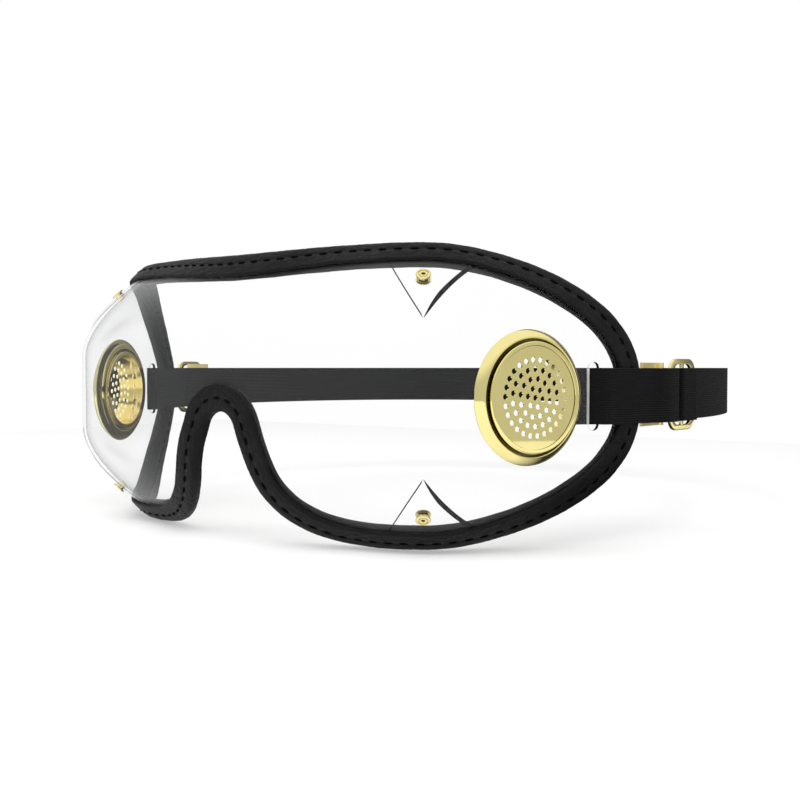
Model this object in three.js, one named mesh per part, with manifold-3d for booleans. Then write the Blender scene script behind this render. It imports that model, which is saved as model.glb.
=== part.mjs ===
// Horse racing goggles: one clear wrap-round sheet, darted at its four corners and bound with leather,
// with a perforated vent on each temple and an elastic head strap that runs through two slides.
// Millimetres. +X is the wearer's left, +Y runs back over the head and +Z is up.
// The origin is the middle of the nose arch, on the outside of the sheet.
import * as THREE from 'three';
import { mergeVertices } from 'three/addons/utils/BufferGeometryUtils.js';
import Module from 'manifold-3d';

const wasm = await Module();
wasm.setup();

// Clearance between pieces that touch on the real goggles
const clearance = 0.3;

// The sheet in plan: a slightly bowed front, a rounded corner and a straight temple
const lensThickness = 1.0;
const frontHalf = 67.8;
const frontBow = 1.55;
const templeAngle = THREE.MathUtils.degToRad(66.7);
const templeLength = 69.4;
const cornerReach = 11;
const cornerReachRim = 18;

// The sheet in height: upright in a middle band, then curving in towards the face
const flatBand = 11.1;
const domeHeight = 32.2;
const domeDepth = 9.5;
const domeDepthCentre = 5.2;
const domeDepthRear = 4.5;
const domeSpread = 57;

// The seam along the sheet's rim, as heights above and below the vents' axis
const browHeight = 37.7;
const browDip = 1.6;
const browDipHalf = 48;
const cheekHeight = 37.6;
const templeFullness = 1.93;
const templeEndHalf = 7.4;
const seamToEdge = 3.9;

// The nose notch
const archTop = 0.6;
const archRadius = 10.9;
const noseFlare = THREE.MathUtils.degToRad(21.2);
const noseSideDrop = 21;
const lobeMiddle = 53.2;

// Leather binding folded over the rim
const leatherThickness = 1.0;
const channelSlack = 0.5;
const flapReach = 2.95;
const innerFlapReach = 2.2;
const foldRound = 0.9;

// Darts: the sheet laps over itself in a triangle at each corner
const dartLength = 17.6;
const dartHalfWidth = 14;
const dartBelowSeam = 3.3;
const lapThickness = 0.7;
const lapFlush = 0.12;
const dartTipShare = 0.02;

// Dart rivets
const rivetBelowBrow = 6.1;
const rivetAboveCheek = 6.2;
const rivetHeadRadius = 2.1;
const rivetHeadHeight = 1.0;
const rivetShankRadius = 1.1;
const rivetDimple = 0.6;
const rivetWasherRadius = 2.1;
const rivetWasherHeight = 0.7;

// Vents, from the barrel through the sheet outwards
const ventAlong = 33.2;
const barrelRadius = 13.2;
const barrelWall = 0.9;
const barrelLip = 0.8;
const capFlange = 1.6;
const capFace = 3.2;
const capRim = 1.2;
const capRecess = 0.3;
const capPlate = 0.5;
const ventGroove = 0.7;
const ventWebHeight = 1.2;
const ventRingWidth = 2.5;
const ventRingEdge = 0.7;
const ventRingCrest = 2.2;
const washerFlange = 3.2;
const washerThickness = 1.2;
const holeRadius = 0.78;
const holesPerRing = [1, 6, 12, 18, 26];
const holeFieldShare = 0.813;

// Elastic strap and the sheet's slots for it
const strapHeight = 15.6;
const strapThickness = 1.2;
const slotPastWasher = 7.0;
const slotWidth = 3.6;
const slotHeight = 19;
const loopReach = 6.0;
const loopDepth = 5.0;
const loopBend = 1.9;
const slotLead = 4.0;
const slotSlope = 2.6;
const slideBend = 5.0;
const tailAlong = 76;
const tailEndAlong = 92.6;
const tailEndDepth = 10.4;
const strapRear = 217.3;
const strapRearReach = 104;
const strapFlank = 30;

// Strap slide: a plate with a front, a centre and a rear bar
const slideAlong = 92;
const slideInset = 0.5;
const slideAngle = THREE.MathUtils.degToRad(81);
const slideThickness = 1.0;
const slideHeight = 21;
const slideBar = 2.4;
const slideSlot = 4.2;
const slideCorner = 4.2;
const slideSlotHeight = 17.8;

// Keeper sleeve round the slide's centre and rear bars, and the clip on the strap's tail
const keeperWall = 0.9;
const keeperHeight = 15.6;
const crimpSheet = 0.6;
const crimpLength = 12.8;
const crimpShort = 1.2;
const crimpRoll = 1.1;
const crimpHeight = 18.8;

// Sizes that follow from the ones above
const barrelBore = barrelRadius - barrelWall;
const capRadius = barrelRadius + capFlange;
const capRecessRadius = capRadius - capRim;
const ventRingRadius = capRadius + ventGroove + ventRingWidth;
const washerRadius = barrelRadius + washerFlange;
const holePitch = (barrelBore * holeFieldShare) / (holesPerRing.length - 1);
const slotAlong = ventAlong + washerRadius + slotPastWasher;

const up = new THREE.Vector3(0, 0, 1);
const roundSteps = 24;
const loopSteps = 56;
const rearSteps = 26;
const finishes = {
  clear: { color: 0xf3f5f5, roughness: 0.05, metalness: 0, transparent: true, opacity: 0.3 },
  leather: { color: 0x262626, roughness: 0.55, metalness: 0 },
  elastic: { color: 0x1e1e1e, roughness: 0.85, metalness: 0 },
  brass: { color: 0xc8bc7d, roughness: 0.22, metalness: 1 },
};

const goggles = new THREE.Group();

function addPiece(name, geometry, finish) {
  const mesh = new THREE.Mesh(geometry, new THREE.MeshStandardMaterial(finishes[finish]));
  mesh.name = name;
  goggles.add(mesh);
  return mesh;
}

// Solids and cuts

function sealed(geometry) {
  const bare = new THREE.BufferGeometry();
  bare.setAttribute('position', geometry.getAttribute('position').clone());
  bare.setIndex(geometry.index);
  const merged = mergeVertices(bare, 1e-4);
  const corners = merged.index.array;
  const kept = [];
  for (let i = 0; i < corners.length; i += 3) {
    const [a, b, c] = corners.slice(i, i + 3);
    if (a !== b && b !== c && c !== a) kept.push(a, b, c);
  }
  merged.setIndex(kept);
  merged.computeVertexNormals();
  return merged;
}

function solidOf(geometry) {
  const closed = sealed(geometry);
  const vertProperties = new Float32Array(closed.getAttribute('position').array);
  const triVerts = new Uint32Array(closed.index.array);
  return new wasm.Manifold(new wasm.Mesh({ numProp: 3, vertProperties, triVerts }));
}

function geometryOf(solid) {
  const mesh = solid.getMesh();
  const geometry = new THREE.BufferGeometry();
  geometry.setAttribute('position', new THREE.BufferAttribute(mesh.vertProperties, 3));
  geometry.setIndex(new THREE.BufferAttribute(mesh.triVerts, 1));
  geometry.computeVertexNormals();
  return geometry;
}

function turned(profile, steps = roundSteps) {
  return sealed(new THREE.LatheGeometry(profile.map(([r, h]) => new THREE.Vector2(r, h)), steps));
}

// A placement whose Y axis points along the outward normal
function seatAt(point, normal) {
  const turn = new THREE.Quaternion().setFromUnitVectors(new THREE.Vector3(0, 1, 0), normal);
  return new THREE.Matrix4().compose(point, turn, new THREE.Vector3(1, 1, 1));
}

// The sheet's outer surface, from its length along the front and temple and its height

const alongTemple = new THREE.Vector3(Math.cos(templeAngle), Math.sin(templeAngle), 0);
const outOfTemple = new THREE.Vector3(Math.sin(templeAngle), -Math.cos(templeAngle), 0);
const halfLength = frontHalf + templeLength;

function domeAt(depth, z) {
  const past = Math.max(0, Math.abs(z) - flatBand) / (domeHeight - flatBand);
  return depth * past * past;
}

// Where the front and the temple would meet in a sharp ridge
function ridgeAt(z) {
  const inset = domeAt(domeDepth, z);
  const slide = inset * Math.tan(templeAngle / 2);
  return new THREE.Vector3(frontHalf - slide, frontBow + inset, z);
}

function frontAt(along, z) {
  const ridge = ridgeAt(z);
  const x = (along / frontHalf) * ridge.x;
  const deepening = THREE.MathUtils.smoothstep(x, 0, domeSpread);
  const depth = THREE.MathUtils.lerp(domeDepthCentre, domeDepth, deepening);
  return new THREE.Vector3(x, frontBow * (along / frontHalf) ** 2 + domeAt(depth, z), z);
}

function templeAt(along, z) {
  const ridge = ridgeAt(z);
  const end = new THREE.Vector3(frontHalf, frontBow, z);
  end.addScaledVector(alongTemple, templeLength);
  end.addScaledVector(outOfTemple, -domeAt(domeDepthRear, z));
  return ridge.lerp(end, (along - frontHalf) / templeLength);
}

// The corner is rounder at the rim than in the upright band
function reachAt(z) {
  const share = THREE.MathUtils.smoothstep(Math.abs(z), flatBand, domeHeight);
  return THREE.MathUtils.lerp(cornerReach, cornerReachRim, share);
}

function sheetPoint(along, z) {
  const length = Math.abs(along);
  const bend = length - frontHalf;
  const reach = reachAt(z);
  let point;
  if (bend <= -reach) {
    point = frontAt(length, z);
  } else if (bend >= reach) {
    point = templeAt(length, z);
  } else {
    const from = frontAt(frontHalf - reach, z);
    const to = templeAt(frontHalf + reach, z);
    const q = (bend + reach) / (2 * reach);
    point = from.multiplyScalar((1 - q) ** 2);
    point.addScaledVector(ridgeAt(z), 2 * q * (1 - q));
    point.addScaledVector(to, q * q);
  }
  if (along < 0) point.x = -point.x;
  return point;
}

function sheetNormal(along, z) {
  const step = 0.05;
  const side = sheetPoint(along + step, z).sub(sheetPoint(along - step, z));
  const rise = sheetPoint(along, z + step).sub(sheetPoint(along, z - step));
  return side.cross(rise).normalize();
}

function onSheet(along, z, out = 0) {
  return sheetPoint(along, z).addScaledVector(sheetNormal(along, z), out);
}

// The seam's height over and under each length along the sheet

function templeSeam(along, height) {
  const endShare = (1 - (templeEndHalf / height) ** 2) ** (1 / templeFullness);
  const share = ((along - frontHalf) / templeLength) * endShare;
  return height * Math.sqrt(1 - Math.max(0, share) ** templeFullness);
}

function topSeam(along) {
  const length = Math.abs(along);
  const dip = browDip * (1 - THREE.MathUtils.smoothstep(length, 0, browDipHalf));
  return length > frontHalf ? templeSeam(length, browHeight) : browHeight - dip;
}

function noseOutline() {
  const centre = archTop - archRadius;
  const sideTop = new THREE.Vector2(Math.cos(noseFlare), Math.sin(noseFlare)).multiplyScalar(archRadius);
  const sideEndHeight = archTop - noseSideDrop;
  const sideEnd = sideTop.x + (sideTop.y + centre - sideEndHeight) * Math.tan(noseFlare);
  const turnIn = sideEnd + (sideEndHeight + cheekHeight) * Math.tan(noseFlare);
  const outline = new THREE.Path();
  outline.absarc(0, centre, archRadius, Math.PI / 2, noseFlare, true);
  outline.lineTo(sideEnd, sideEndHeight);
  outline.quadraticCurveTo(turnIn, -cheekHeight, lobeMiddle, -cheekHeight);
  return outline.getPoints(24);
}

const nose = noseOutline();

function bottomSeam(along) {
  const length = Math.abs(along);
  if (length > frontHalf) return -templeSeam(length, cheekHeight);
  if (length >= lobeMiddle) return -cheekHeight;
  const next = Math.max(1, nose.findIndex((p) => p.x >= length));
  const [a, b] = [nose[next - 1], nose[next]];
  return THREE.MathUtils.mapLinear(length, a.x, b.x, a.y, b.y);
}

// Columns across the sheet, closer together at the nose, the corner and the rear end
function columnLengths() {
  const noseSide = archRadius + noseSideDrop * Math.tan(noseFlare);
  const stretches = [
    [0, archRadius, 4],
    [archRadius, noseSide, 5],
    [noseSide, frontHalf - cornerReachRim, 4],
    [frontHalf - cornerReachRim, frontHalf + cornerReachRim, 12],
  ];
  const half = [];
  for (const [from, to, steps] of stretches) {
    for (let i = 0; i < steps; i++) half.push(from + ((to - from) * i) / steps);
  }
  const templeSteps = 9;
  const templeStart = frontHalf + cornerReachRim;
  for (let i = 0; i <= templeSteps; i++) {
    const share = i / templeSteps;
    const eased = (share + Math.sin((share * Math.PI) / 2)) / 2;
    half.push(templeStart + (halfLength - templeStart) * eased);
  }
  return [...half.slice(1).reverse().map((length) => -length), ...half];
}

const columns = columnLengths();

// Rows between the upright band and the seam, closer together next to the band
const rowShares = [0, 0.16, 0.44, 0.72, 1];
const rowCount = 2 * rowShares.length - 1;

// Heights of one column's rows, from the seam below it to the seam above it
function rowHeights(along) {
  const [low, high] = [bottomSeam(along), topSeam(along)];
  const margin = (high - low) / 4;
  const bandLow = Math.max(-flatBand, low + margin);
  const bandHigh = Math.min(flatBand, high - margin);
  const below = rowShares.map((share) => THREE.MathUtils.lerp(bandLow, low, share)).reverse();
  const above = rowShares.map((share) => THREE.MathUtils.lerp(bandHigh, high, share));
  return [...below, ...above];
}

const grid = columns.map((along) => rowHeights(along).map((z) => ({ along, z })));

// The seam as a closed loop: along the brow, down one end, back along the cheeks and up the other end
function seamLoop() {
  const last = columns.length - 1;
  const loop = [];
  for (let i = 0; i <= last; i++) loop.push([i, rowCount]);
  for (let j = rowCount - 1; j >= 0; j--) loop.push([last, j]);
  for (let i = last - 1; i >= 0; i--) loop.push([i, 0]);
  for (let j = 1; j < rowCount; j++) loop.push([0, j]);
  return loop;
}

const loop = seamLoop();

// Directions at each stop on the seam: out of the sheet's face, and off its rim with mitred corners
const seamStops = loop.map(([i, j]) => {
  const { along, z } = grid[i][j];
  return { point: sheetPoint(along, z), normal: sheetNormal(along, z) };
});
seamStops.forEach((stop, k) => {
  const arriving = stop.point.clone().sub(seamStops.at(k - 1).point).normalize();
  const leaving = seamStops[(k + 1) % seamStops.length].point.clone().sub(stop.point).normalize();
  const tangent = arriving.add(leaving).normalize();
  stop.offRim = stop.normal.clone().cross(tangent).normalize().divideScalar(tangent.dot(leaving));
});

function seamOffset(stop, off, out) {
  return stop.point.clone().addScaledVector(stop.offRim, off).addScaledVector(stop.normal, out);
}

// The clear sheet before it is cut
function sheetGeometry() {
  const positions = [];
  const triangles = [];
  const place = (point) => positions.push(point.x, point.y, point.z) / 3 - 1;
  const faces = [0, -lensThickness].map((out) =>
    grid.map((column) => column.map(({ along, z }) => place(onSheet(along, z, out)))));
  const rims = [0, -lensThickness].map((out) =>
    seamStops.map((stop) => place(seamOffset(stop, seamToEdge, out))));
  const quad = (a, b, c, d) => triangles.push(a, b, c, a, c, d);
  for (let i = 0; i + 1 < columns.length; i++) {
    for (let j = 0; j < rowCount; j++) {
      const [outer, inner] = faces;
      quad(outer[i][j], outer[i + 1][j], outer[i + 1][j + 1], outer[i][j + 1]);
      quad(inner[i][j], inner[i][j + 1], inner[i + 1][j + 1], inner[i + 1][j]);
    }
  }
  for (let k = 0; k < loop.length; k++) {
    const next = (k + 1) % loop.length;
    const [outerSeam, innerSeam] = faces.map((face) => [k, next].map((n) => face[loop[n][0]][loop[n][1]]));
    const [outerRim, innerRim] = rims.map((rim) => [rim[k], rim[next]]);
    quad(outerSeam[0], outerSeam[1], outerRim[1], outerRim[0]);
    quad(innerSeam[0], innerRim[0], innerRim[1], innerSeam[1]);
    quad(outerRim[0], outerRim[1], innerRim[1], innerRim[0]);
  }
  const geometry = new THREE.BufferGeometry();
  geometry.setAttribute('position', new THREE.Float32BufferAttribute(positions, 3));
  geometry.setIndex(triangles);
  return geometry;
}

// One dart's lap: proud outside on the temple's edge of the triangle, and inside on the front's edge
function dartLap(side, half) {
  const steps = 4;
  const apex = (half > 0 ? browHeight : cheekHeight) - dartLength;
  const positions = [];
  const triangles = [];
  for (let row = 0; row <= steps; row++) {
    const share = Math.max(dartTipShare, row / steps);
    for (let column = 0; column <= steps; column++) {
      const across = column / steps;
      const along = side * (frontHalf + dartHalfWidth * share * (2 * across - 1));
      const seam = half > 0 ? topSeam(along) : -bottomSeam(along);
      const z = half * THREE.MathUtils.lerp(apex, seam - dartBelowSeam, share);
      const outer = onSheet(along, z, lapThickness * (lapFlush + (1 - lapFlush) * across));
      const inner = onSheet(along, z, -lensThickness - lapThickness * (1 - (1 - lapFlush) * across));
      positions.push(...outer.toArray(), ...inner.toArray());
    }
  }
  const at = (row, column, layer) => 2 * (row * (steps + 1) + column) + layer;
  const quad = (a, b, c, d) => triangles.push(...(side * half > 0 ? [a, b, c, a, c, d] : [a, c, b, a, d, c]));
  for (let r = 0; r < steps; r++) {
    for (let c = 0; c < steps; c++) {
      quad(at(r, c, 0), at(r, c + 1, 0), at(r + 1, c + 1, 0), at(r + 1, c, 0));
      quad(at(r, c, 1), at(r + 1, c, 1), at(r + 1, c + 1, 1), at(r, c + 1, 1));
    }
    quad(at(r, 0, 1), at(r, 0, 0), at(r + 1, 0, 0), at(r + 1, 0, 1));
    quad(at(r, steps, 0), at(r, steps, 1), at(r + 1, steps, 1), at(r + 1, steps, 0));
    quad(at(0, r, 1), at(0, r + 1, 1), at(0, r + 1, 0), at(0, r, 0));
    quad(at(steps, r, 0), at(steps, r + 1, 0), at(steps, r + 1, 1), at(steps, r, 1));
  }
  const geometry = new THREE.BufferGeometry();
  geometry.setAttribute('position', new THREE.Float32BufferAttribute(positions, 3));
  geometry.setIndex(triangles);
  return geometry;
}

// A place on one temple: along it from the corner, and out from its face
function onTemple(side, along, out) {
  const point = new THREE.Vector3(frontHalf, frontBow, 0);
  point.addScaledVector(alongTemple, along).addScaledVector(outOfTemple, out);
  point.x *= side;
  return point;
}

function templeNormal(side) {
  return new THREE.Vector3(side * outOfTemple.x, outOfTemple.y, 0);
}

// A flat outline stood up on a temple, with its X axis along the temple and its Z axis out of it
function uprightOnTemple(side, along, out) {
  const normal = templeNormal(side);
  const across = up.clone().cross(normal);
  return new THREE.Matrix4().makeBasis(across, up, normal).setPosition(onTemple(side, along, out));
}

function obround(width, height) {
  const radius = width / 2;
  const straight = height / 2 - radius;
  const shape = new THREE.Shape();
  shape.absarc(0, straight, radius, 0, Math.PI, false);
  shape.absarc(0, -straight, radius, Math.PI, 2 * Math.PI, false);
  return shape;
}

const sides = [['right', -1], ['left', 1]];
const halves = [['upper', 1], ['lower', -1]];
const cutDepth = 12;

function ventCut(side) {
  const radius = barrelRadius + clearance;
  const cut = new THREE.CylinderGeometry(radius, radius, cutDepth, roundSteps);
  return cut.applyMatrix4(seatAt(onTemple(side, ventAlong, 0), templeNormal(side)));
}

function slotCut(side) {
  const cut = new THREE.ExtrudeGeometry(obround(slotWidth, slotHeight),
    { depth: cutDepth, bevelEnabled: false, curveSegments: 6 });
  return cut.applyMatrix4(uprightOnTemple(side, slotAlong, -cutDepth / 2));
}

function rivetSeat(side, half, out) {
  const z = half > 0 ? browHeight - rivetBelowBrow : rivetAboveCheek - cheekHeight;
  return seatAt(onSheet(side * frontHalf, z, out), sheetNormal(side * frontHalf, z));
}

function rivetCut(side, half) {
  const radius = rivetShankRadius + clearance;
  return new THREE.CylinderGeometry(radius, radius, cutDepth, 10).applyMatrix4(rivetSeat(side, half, 0));
}

function makeLens() {
  let lens = solidOf(sheetGeometry());
  for (const [, side] of sides) {
    for (const [, half] of halves) lens = lens.add(solidOf(dartLap(side, half)));
    lens = lens.subtract(solidOf(ventCut(side)));
    lens = lens.subtract(solidOf(slotCut(side)));
    for (const [, half] of halves) lens = lens.subtract(solidOf(rivetCut(side, half)));
  }
  addPiece('lens', geometryOf(lens), 'clear');
}

// Leather binding: a U-shaped section carried round the seam, with two stops down each end of the sheet
const bindingRows = [0, rowShares.length - 1, rowShares.length, rowCount];

function bindingSection() {
  const channelOut = channelSlack;
  const channelIn = -lensThickness - channelSlack;
  const faceOut = channelOut + leatherThickness;
  const faceIn = channelIn - leatherThickness;
  const channelEnd = seamToEdge + clearance;
  const fold = channelEnd + leatherThickness;
  return [
    [-flapReach, channelOut],
    [-flapReach, faceOut],
    [fold - foldRound, faceOut],
    [fold, faceOut - foldRound],
    [fold, faceIn + foldRound],
    [fold - foldRound, faceIn],
    [-innerFlapReach, faceIn],
    [-innerFlapReach, channelIn],
    [channelEnd, channelIn],
    [channelEnd, channelOut],
  ];
}

function makeBinding() {
  const section = bindingSection();
  const positions = [];
  const triangles = [];
  const stops = seamStops.filter((stop, k) => bindingRows.includes(loop[k][1]));
  for (const stop of stops) {
    for (const [off, out] of section) positions.push(...seamOffset(stop, off, out).toArray());
  }
  const size = section.length;
  for (let k = 0; k < stops.length; k++) {
    const next = (k + 1) % stops.length;
    for (let p = 0; p < size; p++) {
      const q = (p + 1) % size;
      const [a, b, c, d] = [k * size + p, next * size + p, next * size + q, k * size + q];
      triangles.push(a, b, c, a, c, d);
    }
  }
  const geometry = new THREE.BufferGeometry();
  geometry.setAttribute('position', new THREE.Float32BufferAttribute(positions, 3));
  geometry.setIndex(triangles);
  addPiece('rim_binding', sealed(geometry), 'leather');
}

// Vents: a convex ring outside, a perforated cap whose barrel passes through the sheet, and a washer inside

// The washer clears the sheet where it curves in under the washer's edge
const washerFront = -lensThickness - clearance - domeAt(domeDepth, washerRadius);

function ringProfile() {
  const bore = barrelRadius + clearance;
  const crestInner = capRadius + ventGroove;
  const crest = crestInner + ventRingWidth / 4;
  const shoulder = crestInner + (ventRingWidth * 2) / 3;
  const shoulderHeight = (ventRingEdge + 3 * ventRingCrest) / 4;
  return [
    [bore, clearance],
    [ventRingRadius - clearance, clearance],
    [ventRingRadius, ventRingEdge],
    [shoulder, shoulderHeight],
    [crest, ventRingCrest],
    [crestInner, shoulderHeight],
    [crestInner, ventWebHeight],
    [bore, ventWebHeight],
    [bore, clearance],
  ];
}

function capProfile() {
  const seat = ventWebHeight + clearance;
  const floor = capFace - capRecess;
  const washerBack = washerFront - washerThickness;
  const lipTop = washerBack - clearance;
  const lipEnd = lipTop - barrelLip;
  return [
    [0, floor - capPlate],
    [barrelBore, floor - capPlate],
    [barrelBore, lipEnd],
    [barrelRadius, lipEnd],
    [barrelRadius + barrelLip, lipTop - barrelLip / 2],
    [barrelRadius, lipTop],
    [barrelRadius, seat],
    [capRadius, seat],
    [capRadius, capFace - clearance],
    [capRadius - clearance, capFace],
    [capRecessRadius, capFace],
    [capRecessRadius, floor],
    [0, floor],
  ];
}

function washerProfile() {
  const bore = barrelRadius + clearance;
  const back = washerFront - washerThickness;
  const edge = washerThickness / 3;
  return [
    [bore, back],
    [washerRadius - edge, back],
    [washerRadius, back + edge],
    [washerRadius, washerFront],
    [bore, washerFront],
    [bore, back],
  ];
}

function perforations() {
  const holes = [];
  holesPerRing.forEach((count, ring) => {
    for (let k = 0; k < count; k++) {
      const turn = ((k + ring / 2) / count) * 2 * Math.PI;
      const hole = new THREE.CylinderGeometry(holeRadius, holeRadius, cutDepth, 6);
      holes.push(hole.translate(holePitch * ring * Math.cos(turn), 0, holePitch * ring * Math.sin(turn)));
    }
  });
  return holes;
}

function makeVents() {
  const ring = turned(ringProfile());
  const washer = turned(washerProfile());
  let cap = solidOf(turned(capProfile()));
  for (const hole of perforations()) cap = cap.subtract(solidOf(hole));
  const capGeometry = geometryOf(cap);
  for (const [name, side] of sides) {
    const seat = seatAt(onTemple(side, ventAlong, 0), templeNormal(side));
    addPiece(`vent_ring_${name}`, ring, 'brass').applyMatrix4(seat);
    addPiece(`vent_cap_${name}`, capGeometry, 'brass').applyMatrix4(seat);
    addPiece(`vent_washer_${name}`, washer, 'brass').applyMatrix4(seat);
  }
}

// Dart rivets, each clinched over a washer on the inside

function makeRivets() {
  const steps = 12;
  const seat = lapThickness / 2 + clearance * 2;
  const back = -lensThickness - lapThickness / 2 - clearance * 2;
  const washerBack = back - rivetWasherHeight;
  const edge = rivetHeadHeight / 3;
  const rivet = turned([
    [0, washerBack - edge],
    [rivetShankRadius, washerBack - edge],
    [rivetShankRadius, seat],
    [rivetHeadRadius, seat],
    [rivetHeadRadius, seat + edge],
    [rivetHeadRadius - edge, seat + rivetHeadHeight],
    [rivetDimple, seat + rivetHeadHeight],
    [0, seat + rivetHeadHeight - edge],
  ], steps);
  const bore = rivetShankRadius + clearance;
  const washer = turned([
    [bore, washerBack],
    [rivetWasherRadius, washerBack],
    [rivetWasherRadius, back],
    [bore, back],
    [bore, washerBack],
  ], steps);
  for (const [name, side] of sides) {
    for (const [level, half] of halves) {
      const place = rivetSeat(side, half, 0);
      addPiece(`dart_rivet_${level}_${name}`, rivet, 'brass').applyMatrix4(place);
      addPiece(`dart_washer_${level}_${name}`, washer, 'brass').applyMatrix4(place);
    }
  }
}

// Flat bands in plan, stood up to their height

function sideOf(points, offset) {
  return points.map((point, i) => {
    const before = points[Math.max(0, i - 1)];
    const after = points[Math.min(points.length - 1, i + 1)];
    const run = after.clone().sub(before).normalize();
    return new THREE.Vector2(point.x - run.y * offset, point.y + run.x * offset);
  });
}

function anticlockwise(ring) {
  return THREE.ShapeUtils.isClockWise(ring) ? [...ring].reverse() : ring;
}

function band(outline, height, holes = []) {
  const shape = new THREE.Shape(anticlockwise(outline));
  shape.holes = holes.map((hole) => new THREE.Path(anticlockwise(hole)));
  const geometry = new THREE.ExtrudeGeometry(shape, { depth: height, bevelEnabled: false, curveSegments: 6 });
  return sealed(geometry.translate(0, 0, -height / 2));
}

function ribbon(points, thickness) {
  return [...sideOf(points, thickness / 2), ...sideOf(points, -thickness / 2).reverse()];
}

// Layers of the strap, measured out from the temple's face or from the slide's middle plane
const overBinding = channelSlack + leatherThickness + clearance + strapThickness / 2;
const overSlide = slideThickness / 2 + clearance + strapThickness / 2;
const keeperFace = slideThickness / 2 + clearance + keeperWall;
const underSlide = -keeperFace - clearance - strapThickness / 2;
const slideLength = 3 * slideBar + 2 * slideSlot;
const foldRadius = clearance + strapThickness / 2;
const foldBack = -slideBar / 2 - slideSlot + foldRadius;
const bindingRear = templeLength + seamToEdge + clearance + leatherThickness;

// A place at the left slide, which lies more nearly straight back: back from its middle, and out from it
const alongSlide = new THREE.Vector3(Math.cos(slideAngle), Math.sin(slideAngle), 0);
const outOfSlide = new THREE.Vector3(Math.sin(slideAngle), -Math.cos(slideAngle), 0);

function onSlide(back, out) {
  const point = onTemple(1, slideAlong, -slideInset);
  return point.addScaledVector(alongSlide, back).addScaledVector(outOfSlide, out);
}

// The left strap in plan: out of the slide, over the binding, in through the slot and back to its tail
function loopPlan() {
  const middle = -lensThickness / 2;
  const slotFront = slotAlong - loopReach;
  const path = new THREE.CurvePath();
  let from = onSlide(foldBack, -slideThickness / 2 - clearance);
  const run = (to) => {
    path.add(new THREE.LineCurve3(from, to));
    from = to;
  };
  const bend = (firstHandle, secondHandle, to) => {
    path.add(new THREE.CubicBezierCurve3(from, firstHandle, secondHandle, to));
    from = to;
  };
  const turn = (handle, to) => {
    path.add(new THREE.QuadraticBezierCurve3(from, handle, to));
    from = to;
  };
  run(onSlide(foldBack, overSlide - foldRadius));
  turn(onSlide(foldBack, overSlide), onSlide(foldBack - foldRadius, overSlide));
  run(onSlide(-slideLength / 2, overSlide));
  bend(
    onSlide(-slideLength / 2 - slideBend, overSlide),
    onTemple(1, bindingRear + slideBend, overBinding),
    onTemple(1, bindingRear, overBinding),
  );
  run(onTemple(1, slotAlong + slotLead, overBinding));
  bend(
    onTemple(1, slotAlong + slotLead / 2, overBinding),
    onTemple(1, slotAlong + slotSlope, middle + slotSlope),
    onTemple(1, slotAlong, middle),
  );
  bend(
    onTemple(1, slotAlong - slotSlope, middle - slotSlope),
    onTemple(1, slotFront, -loopDepth / 2),
    onTemple(1, slotFront, loopBend - loopDepth),
  );
  turn(onTemple(1, slotFront, -loopDepth), onTemple(1, slotFront + loopBend, -loopDepth));
  run(onTemple(1, tailAlong, -loopDepth));
  run(onTemple(1, tailEndAlong, -tailEndDepth));
  return path.getSpacedPoints(loopSteps);
}

function makeStraps() {
  const leftLoop = loopPlan();
  for (const [name, side] of sides) {
    const loop = leftLoop.map((point) => new THREE.Vector2(side * point.x, point.y));
    addPiece(`strap_loop_${name}`, band(ribbon(loop, strapThickness), strapHeight), 'elastic');
    addPiece(`tail_crimp_${name}`, band(crimpOutline(loop, side), crimpHeight), 'brass');
  }
  addPiece('strap_rear', band(ribbon(rearPlan(), strapThickness), strapHeight), 'elastic');
}

// A clip on the outer face of the strap's tail, with its rear end curled into a roll
function crimpOutline(loop, side) {
  const tip = loop.at(-1);
  const run = tip.clone().sub(loop.at(-2)).normalize();
  const outward = new THREE.Vector2(run.y, -run.x).multiplyScalar(side);
  const at = (back, out) => tip.clone().addScaledVector(run, -back).addScaledVector(outward, out);
  const inside = strapThickness / 2 + clearance;
  const outside = inside + crimpSheet;
  const front = crimpShort + crimpLength;
  const rollBack = crimpShort + crimpRoll;
  const roll = [];
  for (let k = 0; k <= 8; k++) {
    const turn = (k / 8) * 1.25 * Math.PI;
    roll.push(at(rollBack - crimpRoll * Math.sin(turn), inside + crimpRoll * (1 - Math.cos(turn))));
  }
  return [at(front, inside), ...roll, at(rollBack + crimpRoll, outside), at(front, outside)];
}

// Round the back of the head, from under one slide to under the other
function rearPlan() {
  const start = onSlide(-slideLength / 2, underSlide);
  const leave = onSlide(slideLength / 2, underSlide);
  const flank = onSlide(slideLength / 2 + strapFlank, underSlide);
  const rear = new THREE.Vector3(0, strapRear, 0);
  const rearHandle = new THREE.Vector3(strapRearReach, strapRear, 0);
  const half = new THREE.CubicBezierCurve3(leave, flank, rearHandle, rear).getPoints(rearSteps);
  const plan = [start, ...half].map((point) => new THREE.Vector2(point.x, point.y));
  const mirrored = plan.slice(0, -1).reverse().map((point) => new THREE.Vector2(-point.x, point.y));
  return [...plan, ...mirrored];
}

// Slides, and the sleeve round each one's centre and rear bars

function roundedPlate(width, height, corner) {
  const [x, y] = [width / 2, height / 2];
  const shape = new THREE.Shape();
  shape.absarc(x - corner, y - corner, corner, 0, Math.PI / 2, false);
  shape.absarc(-x + corner, y - corner, corner, Math.PI / 2, Math.PI, false);
  shape.absarc(-x + corner, -y + corner, corner, Math.PI, 1.5 * Math.PI, false);
  shape.absarc(x - corner, -y + corner, corner, 1.5 * Math.PI, 2 * Math.PI, false);
  return shape;
}

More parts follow.
